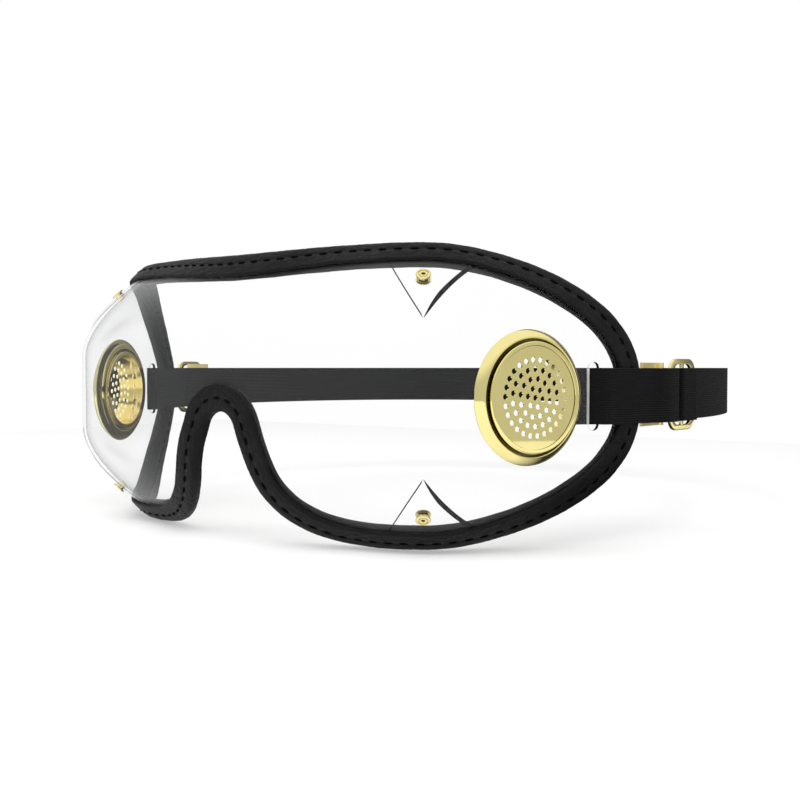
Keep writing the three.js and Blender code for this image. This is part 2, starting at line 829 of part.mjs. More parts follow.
function slidePlate() {
  const plate = roundedPlate(slideLength, slideHeight, slideCorner);
  const slotMiddle = (slideBar + slideSlot) / 2;
  for (const x of [-slotMiddle, slotMiddle]) {
    const slot = roundedPlate(slideSlot, slideSlotHeight, slideSlot / 4).getPoints(2);
    plate.holes.push(new THREE.Path(slot.map((point) => new THREE.Vector2(point.x + x, point.y))));
  }
  const plateShape = { depth: slideThickness, bevelEnabled: false, curveSegments: 4 };
  return sealed(new THREE.ExtrudeGeometry(plate, plateShape).translate(0, 0, -slideThickness / 2));
}

function keeperCorners(side, wall) {
  const front = -slideBar / 2 - clearance - wall;
  const rear = slideLength / 2 + clearance + wall;
  const deep = slideThickness / 2 + clearance + wall;
  const bevel = wall / 2;
  const corners = [
    [front, deep - bevel], [front + bevel, deep], [rear - bevel, deep], [rear, deep - bevel],
    [rear, bevel - deep], [rear - bevel, -deep], [front + bevel, -deep], [front, bevel - deep],
  ];
  const distinct = wall > 0 ? corners : corners.filter((corner, k) => k % 2 === 0);
  return distinct.map(([back, out]) => {
    const point = onSlide(back, out);
    return new THREE.Vector2(side * point.x, point.y);
  });
}

function makeSlides() {
  for (const [name, side] of sides) {
    const mirror = new THREE.Vector3(side, 1, 1);
    const normal = outOfSlide.clone().multiply(mirror);
    const place = new THREE.Matrix4().makeBasis(up.clone().cross(normal), up, normal);
    place.setPosition(onSlide(0, 0).multiply(mirror));
    addPiece(`strap_slide_${name}`, slidePlate(), 'brass').applyMatrix4(place);
    const keeper = band(keeperCorners(side, keeperWall), keeperHeight, [keeperCorners(side, 0)]);
    addPiece(`strap_keeper_${name}`, keeper, 'elastic');
  }
}

makeLens();
makeBinding();
makeVents();
makeRivets();
makeStraps();
makeSlides();

export default goggles;
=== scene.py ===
from functools import partial
from math import cos, pi, radians, sin, tan

import bmesh
import bpy
import numpy as np
from mathutils import Matrix, Vector


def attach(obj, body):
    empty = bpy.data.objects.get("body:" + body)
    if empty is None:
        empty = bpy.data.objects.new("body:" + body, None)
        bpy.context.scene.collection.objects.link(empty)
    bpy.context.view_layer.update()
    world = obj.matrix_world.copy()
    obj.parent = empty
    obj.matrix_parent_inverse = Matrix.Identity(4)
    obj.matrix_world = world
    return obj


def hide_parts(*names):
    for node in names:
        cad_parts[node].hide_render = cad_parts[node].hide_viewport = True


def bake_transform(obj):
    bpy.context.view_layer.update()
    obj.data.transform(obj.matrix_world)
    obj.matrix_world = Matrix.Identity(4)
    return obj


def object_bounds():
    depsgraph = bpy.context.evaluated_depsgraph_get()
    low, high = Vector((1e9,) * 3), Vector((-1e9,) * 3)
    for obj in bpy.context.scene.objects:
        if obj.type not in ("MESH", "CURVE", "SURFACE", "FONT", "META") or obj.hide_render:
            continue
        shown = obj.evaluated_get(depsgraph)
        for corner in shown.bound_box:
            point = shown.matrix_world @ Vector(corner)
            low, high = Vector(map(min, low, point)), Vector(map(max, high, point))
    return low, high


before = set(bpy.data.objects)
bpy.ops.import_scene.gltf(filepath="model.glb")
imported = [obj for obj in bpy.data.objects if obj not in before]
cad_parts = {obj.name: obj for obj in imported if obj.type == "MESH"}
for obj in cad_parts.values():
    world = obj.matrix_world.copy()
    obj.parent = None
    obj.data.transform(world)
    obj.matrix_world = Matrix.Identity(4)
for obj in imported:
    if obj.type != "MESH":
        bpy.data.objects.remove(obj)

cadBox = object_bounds()
mm = 0.001  # sizes below are in millimetres, the scene is in metres
sides = {"right": -1, "left": 1}
halves = {"upper": 1, "lower": -1}
upward = np.array([0, 0, 1.0])
smoothAngles = dict(sheet=30, turned=35, plate=40, ring=50, cloth=60, stitch=80)
print("frame loaded:", len(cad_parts), "nodes")


def take(sizes, names):  # several values of one dictionary
    return [sizes[name] for name in names.split()]


# mesh helpers

def linkObject(name, data):
    obj = bpy.data.objects.new(name, data)
    bpy.context.scene.collection.objects.link(obj)
    return obj


def newObject(name, points, faces, materials, edges=(), faceMaterials=None):
    mesh = bpy.data.meshes.new(name)
    places = np.asarray(points, float) * mm
    mesh.from_pydata([tuple(p) for p in places], list(edges), [tuple(f) for f in faces])
    mesh.validate()
    for material in materials:
        mesh.materials.append(material)
    if faceMaterials is not None:
        mesh.polygons.foreach_set("material_index", np.asarray(faceMaterials, np.int32))
    return linkObject(name, mesh)


def smoothShade(obj, kind):
    obj.data.polygons.foreach_set("use_smooth", [True] * len(obj.data.polygons))
    obj.data.set_sharp_from_angle(angle=radians(smoothAngles[kind]))


def faceOutwards(obj, smooth=None):
    work = bmesh.new()
    work.from_mesh(obj.data)
    bmesh.ops.remove_doubles(work, verts=work.verts, dist=1e-7)
    bmesh.ops.recalc_face_normals(work, faces=work.faces)
    work.to_mesh(obj.data)
    work.free()
    if smooth:
        smoothShade(obj, smooth)
    return obj


def bakeObject(obj, name=None):  # evaluated modifiers as a plain mesh
    name = name or obj.name
    depsgraph = bpy.context.evaluated_depsgraph_get()
    mesh = bpy.data.meshes.new_from_object(obj.evaluated_get(depsgraph), depsgraph=depsgraph)
    old = obj.data
    bpy.data.objects.remove(obj)
    if isinstance(old, bpy.types.Mesh):
        bpy.data.meshes.remove(old)
    mesh.name = name
    return linkObject(name, mesh)


def addPiece(obj, body, slotName, *nodes):
    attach(obj, body)
    if nodes:
        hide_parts(*nodes)
    return obj


def setInPlace(obj, seat):
    basis, place = seat
    obj.data.transform(Matrix(np.column_stack([basis, place * mm]).tolist()).to_4x4())
    return obj


def gridFaces(rows, columns, closed=False, closeColumns=False):
    faces = []
    for i in range(rows if closed else rows - 1):
        for j in range(columns if closeColumns else columns - 1):
            here, below = i * columns, ((i + 1) % rows) * columns
            after = (j + 1) % columns
            faces.append((here + j, below + j, below + after, here + after))
    return faces


def bandFaces(count):  # between a loop of points and the next one
    return [(i, (i + 1) % count, count + (i + 1) % count, count + i) for i in range(count)]


def turnedOver(faces, offset):  # the same faces on a second block of points, looking the other way
    return [tuple(v + offset for v in face[::-1]) for face in faces]


def mirrored(points, side):
    return points * np.array([side, 1, 1])


# node helpers

def feed(tree, node, inputs):  # links an output to a socket, or sets the socket's constant
    for key, value in inputs.items():
        if isinstance(value, bpy.types.NodeSocket):
            tree.links.new(value, node.inputs[key])
        else:
            node.inputs[key].default_value = value


def addNode(tree, kind, inputs=None, **settings):
    node = tree.nodes.new(kind)
    for key, value in settings.items():
        setattr(node, key, value)
    feed(tree, node, inputs or {})
    return node


def wire(tree, kind, inputs=None, output=0, **settings):  # one output of a new node
    return addNode(tree, kind, inputs, **settings).outputs[output]


def calc(tree, operation, *values):
    return wire(tree, "ShaderNodeMath", dict(enumerate(values)), operation=operation)


def mapRange(tree, value, span=(0.0, 1.0), result=(0.0, 1.0), **settings):
    ends = {"From Min": span[0], "From Max": span[1], "To Min": result[0], "To Max": result[1]}
    return wire(tree, "ShaderNodeMapRange", {"Value": value, **ends}, **settings)


def newTree(name, kind, inputs, outputs):
    tree = bpy.data.node_groups.new(name, kind)
    for label, (socket, value) in inputs.items():
        item = tree.interface.new_socket(name=label, in_out="INPUT", socket_type=f"NodeSocket{socket}")
        if value is not None:
            item.default_value = value
    for label, socket in outputs.items():
        tree.interface.new_socket(name=label, in_out="OUTPUT", socket_type=f"NodeSocket{socket}")
    return tree, tree.nodes.new("NodeGroupInput").outputs, tree.nodes.new("NodeGroupOutput")


def geometryTree(name, inputs):
    inputs = {"Geometry": ("Geometry", None), **inputs}
    return newTree(name, "GeometryNodeTree", inputs, {"Geometry": "Geometry"})


def endTree(tree, result, geometry, material, **selection):
    real = wire(tree, "GeometryNodeRealizeInstances", {"Geometry": geometry})
    feed(tree, result, {0: wire(tree, "GeometryNodeSetMaterial",
                                {"Geometry": real, "Material": material, **selection})})


def runTree(obj, tree, values):  # a modifier's inputs are set by identifier
    modifier = obj.modifiers.new(tree.name, "NODES")
    modifier.node_group = tree
    for item in tree.interface.items_tree:
        if item.item_type == "SOCKET" and item.in_out == "INPUT" and item.name in values:
            modifier[item.identifier] = values[item.name]
    return bakeObject(obj)


# materials

def grainGroup():  # fine irregular grain for leather, elastic, brass and the clear sheet
    tree, given, result = newTree(
        "surfaceGrain", "ShaderNodeTree",
        {"Scale": ("Float", 800.0), "Stretch": ("Vector", (1.0, 1.0, 1.0)),
         "Low": ("Float", 0.3), "High": ("Float", 0.7)},
        {"Mask": "Float", "Height": "Float"})
    place = wire(tree, "ShaderNodeTexCoord", None, "Object")
    stretched = wire(tree, "ShaderNodeMapping", {"Vector": place, "Scale": given["Stretch"]})
    noise = wire(tree, "ShaderNodeTexNoise", {"Vector": stretched, "Scale": given["Scale"], "Detail": 4.0})
    mask = mapRange(tree, noise, (given["Low"], given["High"]))
    feed(tree, result, {"Mask": mask, "Height": noise})
    return tree


surfaceGrain = grainGroup()


def grain(tree, scale, low, high, stretch=(1, 1, 1)):  # its mask and its height
    inputs = {"Scale": scale, "Low": low, "High": high, "Stretch": stretch}
    return addNode(tree, "ShaderNodeGroup", inputs, node_tree=surfaceGrain).outputs


def newMaterial(name):
    material = bpy.data.materials.new(name)
    material.use_nodes = True
    return material, material.node_tree, material.node_tree.nodes["Principled BSDF"]


def mixColour(tree, factor, first, second):
    inputs = {0: factor, 6: (*first, 1), 7: (*second, 1)}
    return wire(tree, "ShaderNodeMix", inputs, 2, data_type="RGBA")


def bump(tree, height, strength, distance):
    return wire(tree, "ShaderNodeBump", {"Height": height, "Strength": strength, "Distance": distance})


def facesAway(tree):
    return wire(tree, "ShaderNodeNewGeometry", None, "Backfacing")


clearLook = dict(
    scuffs=(60, 0.45, 0.8), roughness=(0.05, 0.125), refraction=1.5,
    clearSheet=dict(colour=(0.82, 0.83, 0.84), facing=0.036, glancing=1.1, power=3.8),
    # veil colours: the inner faces and the laps are painted darker than the outer faces, as painted shade in
    # the painted reflection
    clearInside=dict(colour=(0.30, 0.305, 0.31), facing=0.014, glancing=1.0, power=3.3),
    clearLap=dict(colour=(0.42, 0.43, 0.44), facing=0.005, glancing=0.1, power=3.6))


def clearMaterial(name):  # a painted reflection: a thin lit veil on faces that are towards the eye, more at a glancing angle
    look = clearLook[name]
    material, tree, shader = newMaterial(name)
    scuffs = grain(tree, *clearLook["scuffs"])["Mask"]
    tilt = wire(tree, "ShaderNodeLayerWeight", {"Blend": 0.5}, "Facing")
    veil = mapRange(tree, calc(tree, "POWER", tilt, look["power"]), result=(look["facing"], look["glancing"]))
    feed(tree, shader, {
        "Base Color": (*look["colour"], 1),
        "Roughness": mapRange(tree, scuffs, result=clearLook["roughness"]),
        "IOR": clearLook["refraction"],
        "Alpha": calc(tree, "MULTIPLY", veil, calc(tree, "SUBTRACT", 1.0, facesAway(tree)))})
    return material


grainedLook = dict(
    # the sawn edge of the clear sheet, painted near black from outside as painted shade in place of the dark
    # line that refraction gives it, and faint from inside
    sheetCutEdge=dict(grain=(900, 0.35, 0.7, (1, 1, 0.2)), dark=(0.006, 0.006, 0.007),
                      light=(0.03, 0.03, 0.032), roughness=0.25, shine=0.2, insideAlpha=0.12),
    # the polished edge of the strap's slot, painted near white as a painted highlight where it catches the
    # light
    sheetPaintedHighlight=dict(grain=(500, 0.3, 0.7), dark=(0.86, 0.87, 0.88), light=(0.97, 0.97, 0.97),
                         roughness=0.3, shine=0.5),
    stitchThread=dict(grain=(2500, 0.3, 0.7), dark=(0.0008, 0.0008, 0.0008), light=(0.002, 0.002, 0.002),
                      roughness=0.8, shine=0.05, relief=(0.3, 0.0001)))


def grainedMaterial(name):
    look = grainedLook[name]
    material, tree, shader = newMaterial(name)
    mask, height = grain(tree, *look["grain"])
    feed(tree, shader, {"Base Color": mixColour(tree, mask, look["dark"], look["light"]),
                        "Roughness": look["roughness"], "Specular IOR Level": look["shine"]})
    if "relief" in look:
        feed(tree, shader, {"Normal": bump(tree, height, *look["relief"])})
    if "insideAlpha" in look:
        feed(tree, shader, {"Alpha": mapRange(tree, facesAway(tree), result=(1.0, look["insideAlpha"]))})
    return material


leatherLook = dict(
    pores=(1500, 0.3, 0.7), tones=(120, 0.3, 0.75), creases=(230, 0.42, 0.62, (1.0, 2.6, 0.55)),
    creaseShare=0.5, folds=130, foldWidth=0.06, foldShare=0.6, depth=0.0003, roughness=(0.42, 0.62),
    bindingLeather=dict(dark=(0.0035, 0.0035, 0.0037), light=(0.0085, 0.0084, 0.0082), relief=0.5,
                        shine=0.13),
    # the side against the sheet is painted lighter than the outer face: painted light in the strip that the
    # outer flap shades
    bindingInside=dict(dark=(0.014, 0.014, 0.0145), light=(0.02, 0.02, 0.0205), relief=0.08, shine=0.02))


def leatherMaterial(name):
    look = leatherLook[name]
    material, tree, shader = newMaterial(name)
    pores, height = grain(tree, *leatherLook["pores"])
    tones, creases = (grain(tree, *leatherLook[k])["Mask"] for k in ("tones", "creases"))
    place = wire(tree, "ShaderNodeTexCoord", None, "Object")
    cells = wire(tree, "ShaderNodeTexVoronoi", {"Vector": place, "Scale": leatherLook["folds"]},
                 "Distance", feature="DISTANCE_TO_EDGE")
    folds = mapRange(tree, cells, (0.0, leatherLook["foldWidth"]))
    height = calc(tree, "MULTIPLY_ADD", creases, leatherLook["creaseShare"], height)
    height = calc(tree, "MULTIPLY_ADD", folds, leatherLook["foldShare"], height)
    feed(tree, shader, {
        "Base Color": mixColour(tree, tones, look["dark"], look["light"]),
        "Roughness": mapRange(tree, pores, result=leatherLook["roughness"]),
        "Specular IOR Level": look["shine"],
        "Normal": bump(tree, height, look["relief"], leatherLook["depth"])})
    return material


elasticLook = dict(
    # the keeper's elastic is painted darker than the strap's, as painted shade that sets it off from the
    # strap
    dark=(0.0025, 0.0025, 0.0027), strapElastic=(0.011, 0.011, 0.0115), keeperElasticPaintedShade=(0.005, 0.005, 0.0052),
    streaks=90.0, streakScale=1.3, fuzz=(1800, 0.3, 0.7), roughness=(0.62, 0.85), shine=0.12, sheen=0.02,
    relief=(0.1, 0.0001))


def elasticMaterial(name):
    material, tree, shader = newMaterial(name)
    along, across = (wire(tree, "ShaderNodeAttribute", None, "Fac", attribute_name=k)
                     for k in ("stripLength", "stripWidth"))
    # painted shade: the colour is darker down in the grooves between the ribs and lighter on their crests
    ribs = calc(tree, "ABSOLUTE", calc(tree, "SINE", calc(tree, "MULTIPLY", across, pi)))
    drawnOut = calc(tree, "MULTIPLY", along, elasticLook["streaks"])
    place = wire(tree, "ShaderNodeCombineXYZ", {"X": drawnOut, "Y": across})
    streak = wire(tree, "ShaderNodeTexNoise",
                  {"Vector": place, "Scale": elasticLook["streakScale"], "Detail": 3.0})
    fuzz = grain(tree, *elasticLook["fuzz"])["Mask"]
    tone = calc(tree, "MULTIPLY", ribs, streak)
    feed(tree, shader, {
        "Base Color": mixColour(tree, tone, elasticLook["dark"], elasticLook[name]),
        "Roughness": mapRange(tree, fuzz, result=elasticLook["roughness"]),
        "Specular IOR Level": elasticLook["shine"], "Sheen Weight": elasticLook["sheen"],
        "Normal": bump(tree, streak, *elasticLook["relief"])})
    return material


brassLook = dict(colour=(0.80, 0.71, 0.31), deep=(0.74, 0.65, 0.27), tarnish=(90, 0.35, 0.75),
                 polish=(1600, 0.3, 0.7), depth=0.00005)
brassFinishAndPaintedTone = dict(  # least and most roughness, relief, tone, paleness; a tone or paleness above 1 is painted light, the shade finish's low tone is painted shade
    polished=(0.03, 0.06, 0.01, 1.0, 1.0), plate=(0.02, 0.035, 0.003, 1.0, 1.0),
    satin=(0.14, 0.19, 0.04, 1.18, 1.5), dull=(0.12, 0.2, 0.05, 0.97, 1.15),
    rough=(0.4, 0.5, 0.05, 1.25, 1.15), shade=(0.35, 0.5, 0.05, 0.17, 1.0))


def brassMaterial(finish):
    low, high, relief, tone, pale = brassFinishAndPaintedTone[finish]
    # the tint paints the brass lighter and paler, or dark for the shade finish: painted light and painted
    # shade
    tint = np.array((tone, tone, tone * pale))
    material, tree, shader = newMaterial(f"brass{finish.title()}")
    tarnish = grain(tree, *brassLook["tarnish"])["Mask"]
    polish, height = grain(tree, *brassLook["polish"])
    feed(tree, shader, {
        "Base Color": mixColour(tree, tarnish, tint * brassLook["colour"], tint * brassLook["deep"]),
        "Metallic": 1.0, "Roughness": mapRange(tree, polish, result=(low, high)),
        "Normal": bump(tree, height, relief, brassLook["depth"])})
    return material


clearSheet, clearInside, clearLap = map(clearMaterial, ("clearSheet", "clearInside", "clearLap"))
sheetCutEdge, sheetPaintedHighlight, stitchThread = map(grainedMaterial, grainedLook)
bindingLeather, bindingInside = map(leatherMaterial, ("bindingLeather", "bindingInside"))
strapElastic, keeperElasticPaintedShade = map(elasticMaterial, ("strapElastic", "keeperElasticPaintedShade"))
brass = {finish: brassMaterial(finish) for finish in brassFinishAndPaintedTone}
print("materials ready:", len(bpy.data.materials))


# camera: the photograph's viewpoint, found from the sheet's outline

cameraLook = dict(place=(196.98, -196.86, 7.91), turn=34.46, tilt=-1.92, focalPixels=966.46,
                  framePixels=800, sensor=36.0, clipStart=5.0)


def makeCamera():
    turn, tilt = radians(cameraLook["turn"]), radians(cameraLook["tilt"])
    right = Vector((cos(turn), sin(turn), 0))
    level = cos(tilt)
    forward = Vector((-sin(turn) * level, cos(turn) * level, sin(tilt)))
    data = bpy.data.cameras.new("photoCamera")
    data.sensor_fit = "HORIZONTAL"
    data.sensor_width = cameraLook["sensor"]
    data.lens = cameraLook["focalPixels"] / cameraLook["framePixels"] * cameraLook["sensor"]
    data.clip_start = cameraLook["clipStart"] * mm
    camera = linkObject("photoCamera", data)
    basis = Matrix((right, right.cross(forward), -forward)).transposed().to_4x4()
    camera.matrix_world = Matrix.Translation(Vector(cameraLook["place"]) * mm) @ basis
    bpy.context.scene.camera = camera


makeCamera()


# the clear sheet's surface, from the length along it and the height

sheetSize = dict(
    thickness=1.0, frontHalf=67.8, frontBow=1.55, templeAngle=66.7, templeLength=69.4, ventAlong=33.2,
    slotAlong=56.6, cornerReach=11.0, cornerReachRim=18.0, flatBand=11.1, domeHeight=32.2, domeDepth=9.5,
    domeDepthCentre=5.2, domeDepthRear=4.5, domeSpread=57.0, browHeight=37.7, browDip=1.6, browDipHalf=48.0,
    cheekHeight=37.6, templeFullness=1.93, templeEndHalf=7.4, seamToEdge=3.0, archTop=0.6, archRadius=10.9,
    noseFlare=21.2, noseSideDrop=21.0, lobeMiddle=53.2, columns=190, rows=56, crowding=0.06)
sheetWall, frontHalf, frontBow, templeLength = take(sheetSize, "thickness frontHalf frontBow templeLength")
ventAlong, slotAlong, flatBand = take(sheetSize, "ventAlong slotAlong flatBand")
browHeight, cheekHeight = take(sheetSize, "browHeight cheekHeight")
sheetEnd = frontHalf + templeLength
templeAngle = radians(sheetSize["templeAngle"])
alongTemple = np.array([cos(templeAngle), sin(templeAngle), 0.0])
outOfTemple = np.array([sin(templeAngle), -cos(templeAngle), 0.0])
templeStart = np.array([frontHalf, frontBow, 0.0])


def smoothStep(x, low, high):
    t = np.clip((x - low) / (high - low), 0, 1)
    return t * t * (3 - 2 * t)


def quadratic(start, handle, end, q):
    return (1 - q) ** 2 * start + 2 * q * (1 - q) * handle + q * q * end


def domeInset(depth, z):
    past = np.maximum(0, np.abs(z) - flatBand) / (sheetSize["domeHeight"] - flatBand)
    return depth * past**2


def ridgeLine(z):
    inset = domeInset(sheetSize["domeDepth"], z)
    return np.stack([frontHalf - inset * tan(templeAngle / 2), frontBow + inset, z], -1)


def frontFace(along, z):
    share = along / frontHalf
    x = share * ridgeLine(z)[..., 0]
    deepening = smoothStep(x, 0, sheetSize["domeSpread"])
    depth = sheetSize["domeDepthCentre"] * (1 - deepening) + sheetSize["domeDepth"] * deepening
    return np.stack([x, frontBow * share**2 + domeInset(depth, z), z], -1)


def templeFace(along, z):
    level = np.stack([0 * z, 0 * z, z], -1)
    inset = domeInset(sheetSize["domeDepthRear"], z)[..., None]
    end = level + templeStart + alongTemple * templeLength - outOfTemple * inset
    share = ((along - frontHalf) / templeLength)[..., None]
    return ridgeLine(z) * (1 - share) + end * share


def sheetPoint(along, z):
    along, z = np.broadcast_arrays(np.asarray(along, float), np.asarray(z, float))
    length = np.abs(along)
    rounder = smoothStep(np.abs(z), flatBand, sheetSize["domeHeight"])
    reach = sheetSize["cornerReach"] * (1 - rounder) + sheetSize["cornerReachRim"] * rounder
    bend = length - frontHalf
    before, after = frontFace(frontHalf - reach, z), templeFace(frontHalf + reach, z)
    rounded = quadratic(before, ridgeLine(z), after, ((bend + reach) / (2 * reach))[..., None])
    point = np.where((bend >= reach)[..., None], templeFace(length, z), rounded)
    point = np.where((bend <= -reach)[..., None], frontFace(length, z), point)
    point[..., 0] *= np.where(along < 0, -1, 1)
    return point


def sheetNormal(along, z, step=0.05):
    across = sheetPoint(along + step, z) - sheetPoint(along - step, z)
    rise = sheetPoint(along, z + step) - sheetPoint(along, z - step)
    return unit(np.cross(across, rise))


def onSheet(along, z, out=0.0):
    along, z = np.broadcast_arrays(np.asarray(along, float), np.asarray(z, float))
    return sheetPoint(along, z) + sheetNormal(along, z) * np.asarray(out, float)[..., None]


def templeSeam(length, height):
    fullness = sheetSize["templeFullness"]
    endShare = (1 - (sheetSize["templeEndHalf"] / height) ** 2) ** (1 / fullness)
    share = np.maximum(0, (length - frontHalf) / templeLength * endShare)
    return height * np.sqrt(np.maximum(0, 1 - share ** fullness))


def topSeam(along):
    length = np.abs(along)
    dip = sheetSize["browDip"] * (1 - smoothStep(length, 0, sheetSize["browDipHalf"]))
    return np.where(length > frontHalf, templeSeam(length, browHeight), browHeight - dip)


def noseOutline():
    radius, flare, top = sheetSize["archRadius"], radians(sheetSize["noseFlare"]), sheetSize["archTop"]
    turns = np.linspace(pi / 2, flare, 40)
    arch = np.stack([radius * np.cos(turns), radius * np.sin(turns) - radius + top], -1)
    low = top - sheetSize["noseSideDrop"]
    foot = np.array([arch[-1, 0] + (arch[-1, 1] - low) * tan(flare), low])
    bendAt = np.array([foot[0] + (low + cheekHeight) * tan(flare), -cheekHeight])
    lobe = np.array([sheetSize["lobeMiddle"], -cheekHeight])
    return np.concatenate([arch, quadratic(foot, bendAt, lobe, np.linspace(0, 1, 40)[:, None])])


nose = noseOutline()


def bottomSeam(along):
    length = np.abs(along)
    notch = np.interp(length, nose[:, 0], nose[:, 1])
    front = np.where(length >= sheetSize["lobeMiddle"], -cheekHeight, notch)
    return np.where(length > frontHalf, -templeSeam(length, cheekHeight), front)


def onTemple(along, out, z=0.0, side=1):  # a place beside one temple, along from its corner
    along, out, z = np.broadcast_arrays(*(np.asarray(v, float) for v in (along, out, z)))
    point = templeStart + along[..., None] * alongTemple + out[..., None] * outOfTemple
    return mirrored(point + z[..., None] * upward, side)


def facing(normal):  # a basis that looks along the normal: across, up and out
    across = unit(np.cross(upward, normal))
    return np.column_stack([across, np.cross(normal, across), normal])


def templeSeat(side, along):
    return facing(mirrored(outOfTemple, side)), onTemple(along, 0.0, side=side)


def unit(vectors):
    return vectors / np.linalg.norm(vectors, axis=-1, keepdims=True)


def distances(path):
    return np.concatenate([[0], np.cumsum(np.linalg.norm(np.diff(path, axis=0), axis=1))])


seamEase = dict(samples=3001, rounds=26, start=9, full=5)


def seamLoop(spacing):  # the whole seam as (along, height), evenly spaced, with its end corners eased
    lengths = np.linspace(-sheetEnd, sheetEnd, seamEase["samples"])
    top = np.stack([lengths, topSeam(lengths)], -1)
    bottom = np.stack([lengths, bottomSeam(lengths)], -1)[::-1]
    loop = np.concatenate([top, bottom])
    for _ in range(2):
        closed = np.concatenate([loop, loop[:1]])
        travelled = distances(onSheet(closed[:, 0], closed[:, 1]))
        stops = np.linspace(0, travelled[-1], int(travelled[-1] / spacing) + 1)[:-1]
        loop = np.stack([np.interp(stops, travelled, closed[:, k]) for k in (0, 1)], -1)
        for _ in range(int(seamEase["rounds"] / spacing**2)):
            eased = (np.roll(loop, 1, 0) + 2 * loop + np.roll(loop, -1, 0)) / 4
            ends = sheetEnd - seamEase["start"], sheetEnd - seamEase["full"]
            near = smoothStep(np.abs(loop[:, 0]), *ends)[:, None]
            loop = loop * (1 - near) + eased * near
    return loop


def seamFrame(loop):
    point = onSheet(loop[:, 0], loop[:, 1])
    normal = sheetNormal(loop[:, 0], loop[:, 1])
    tangent = unit(np.roll(point, -1, 0) - np.roll(point, 1, 0))
    return point, normal, unit(np.cross(normal, tangent)), tangent


# clear sheet: a fine grid with holes for the vents, the strap and the dart rivets

holeSize = dict(vent=13.5, ventSteps=96, slotWidth=3.6, slotHeight=19.0, rivet=1.4, rivetSteps=20,
                depth=14.0, rivetDepth=5.0, flatInner=18.5, flatOuter=27.0)
rivetSize = dict(upperHeight=31.6, lowerHeight=31.4, head=2.0, headHeight=0.65, headEdge=0.3, ring=0.75,
                 ringDepth=0.3, shank=1.3, dimple=0.5, dimpleDepth=0.55, washer=2.1, washerHeight=0.35,
                 washerEdge=0.25, washerGap=0.15, seat=0.35, back=-1.05, clinch=0.35, clinchFlat=0.8,
                 chamfer=0.1, drop=0.02, ringHalf=0.2, dimpleEdge=0.12, dimpleFloor=(0.6, 0.5), steps=40)


def flattened(points, along, z, level):  # the sheet lies flat where a vent clamps it
    flat = points.copy()
    radius = np.hypot(np.abs(along) - frontHalf - ventAlong, z)
    clamped = 1 - smoothStep(radius, holeSize["flatInner"], holeSize["flatOuter"])
    for side in sides.values():
        outward = mirrored(outOfTemple, side)
        lift = (points - onTemple(0, 0, side=side)) @ outward - level
        flat -= (lift * clamped * (along * side > 0))[..., None] * outward
    return flat


def obroundPoints(width, height, steps=14):
    turns = np.linspace(0, pi, steps)
    radius, straight = width / 2, (height - width) / 2
    cap = np.stack([radius * np.cos(turns), straight + radius * np.sin(turns)], -1)
    return np.concatenate([cap, -cap])


def circlePoints(radius, steps):
    turns = np.arange(steps) * 2 * pi / steps
    return np.stack([radius * np.cos(turns), radius * np.sin(turns)], -1)


def prism(name, outline, seat, depth, materials, wallMaterials=None):
    basis, place = seat
    count = len(outline)
    ends = [np.column_stack([outline, np.full(count, level)]) for level in (-depth / 2, depth / 2)]
    faces = bandFaces(count) + [tuple(range(count))[::-1], tuple(range(count, 2 * count))]
    return faceOutwards(newObject(name, np.concatenate(ends) @ basis.T + place, faces, materials,
                                  faceMaterials=[*(wallMaterials or [0] * count), 0, 0]))


def rivetSeat(side, half):
    along = np.array(side * frontHalf)
    z = np.array(rivetSize["upperHeight"] if half > 0 else -rivetSize["lowerHeight"])
    return facing(sheetNormal(along, z)), onSheet(along, z)


def makeSheet():
    columns, rows = sheetSize["columns"], sheetSize["rows"]
    share = np.linspace(-1, 1, columns)
    along = sheetEnd * (share + sheetSize["crowding"] * np.sin(pi * share))
    rise = np.linspace(0, 1, rows)
    u = np.repeat(along[:, None], rows, 1)
    z = bottomSeam(along)[:, None] * (1 - rise) + topSeam(along)[:, None] * rise
    loop = [(i, rows - 1) for i in range(columns)] + [(columns - 1, j) for j in range(rows - 2, -1, -1)]
    loop += [(i, 0) for i in range(columns - 2, -1, -1)] + [(0, j) for j in range(1, rows - 1)]
    offRim = seamFrame(np.array([(u[i, j], z[i, j]) for i, j in loop]))[2]
    points = []
    for level in (0.0, -sheetWall):  # the outer face, then the inner
        face = flattened(onSheet(u, z, level + 0 * u), u, z, level)
        seam = np.array([face[i, j] for i, j in loop])
        points += [face.reshape(-1, 3), seam + offRim * sheetSize["seamToEdge"]]
    count, grid = len(loop), columns * rows
    block = grid + count
    outer = gridFaces(columns, rows)
    faces = outer + turnedOver(outer, block)
    seamIds = [i * rows + j for i, j in loop]
    for k in range(count):
        n = (k + 1) % count
        a, b, c, d = seamIds[k], seamIds[n], grid + n, grid + k
        faces += [(a, b, c, d), (a + block, d + block, c + block, b + block), (d, c, c + block, d + block)]
    ids = [0] * len(outer) + [3] * len(outer) + [0, 3, 0] * count
    materials = [clearSheet, sheetCutEdge, sheetPaintedHighlight, clearInside]
    return faceOutwards(newObject("clearLens", np.concatenate(points), faces, materials, faceMaterials=ids))


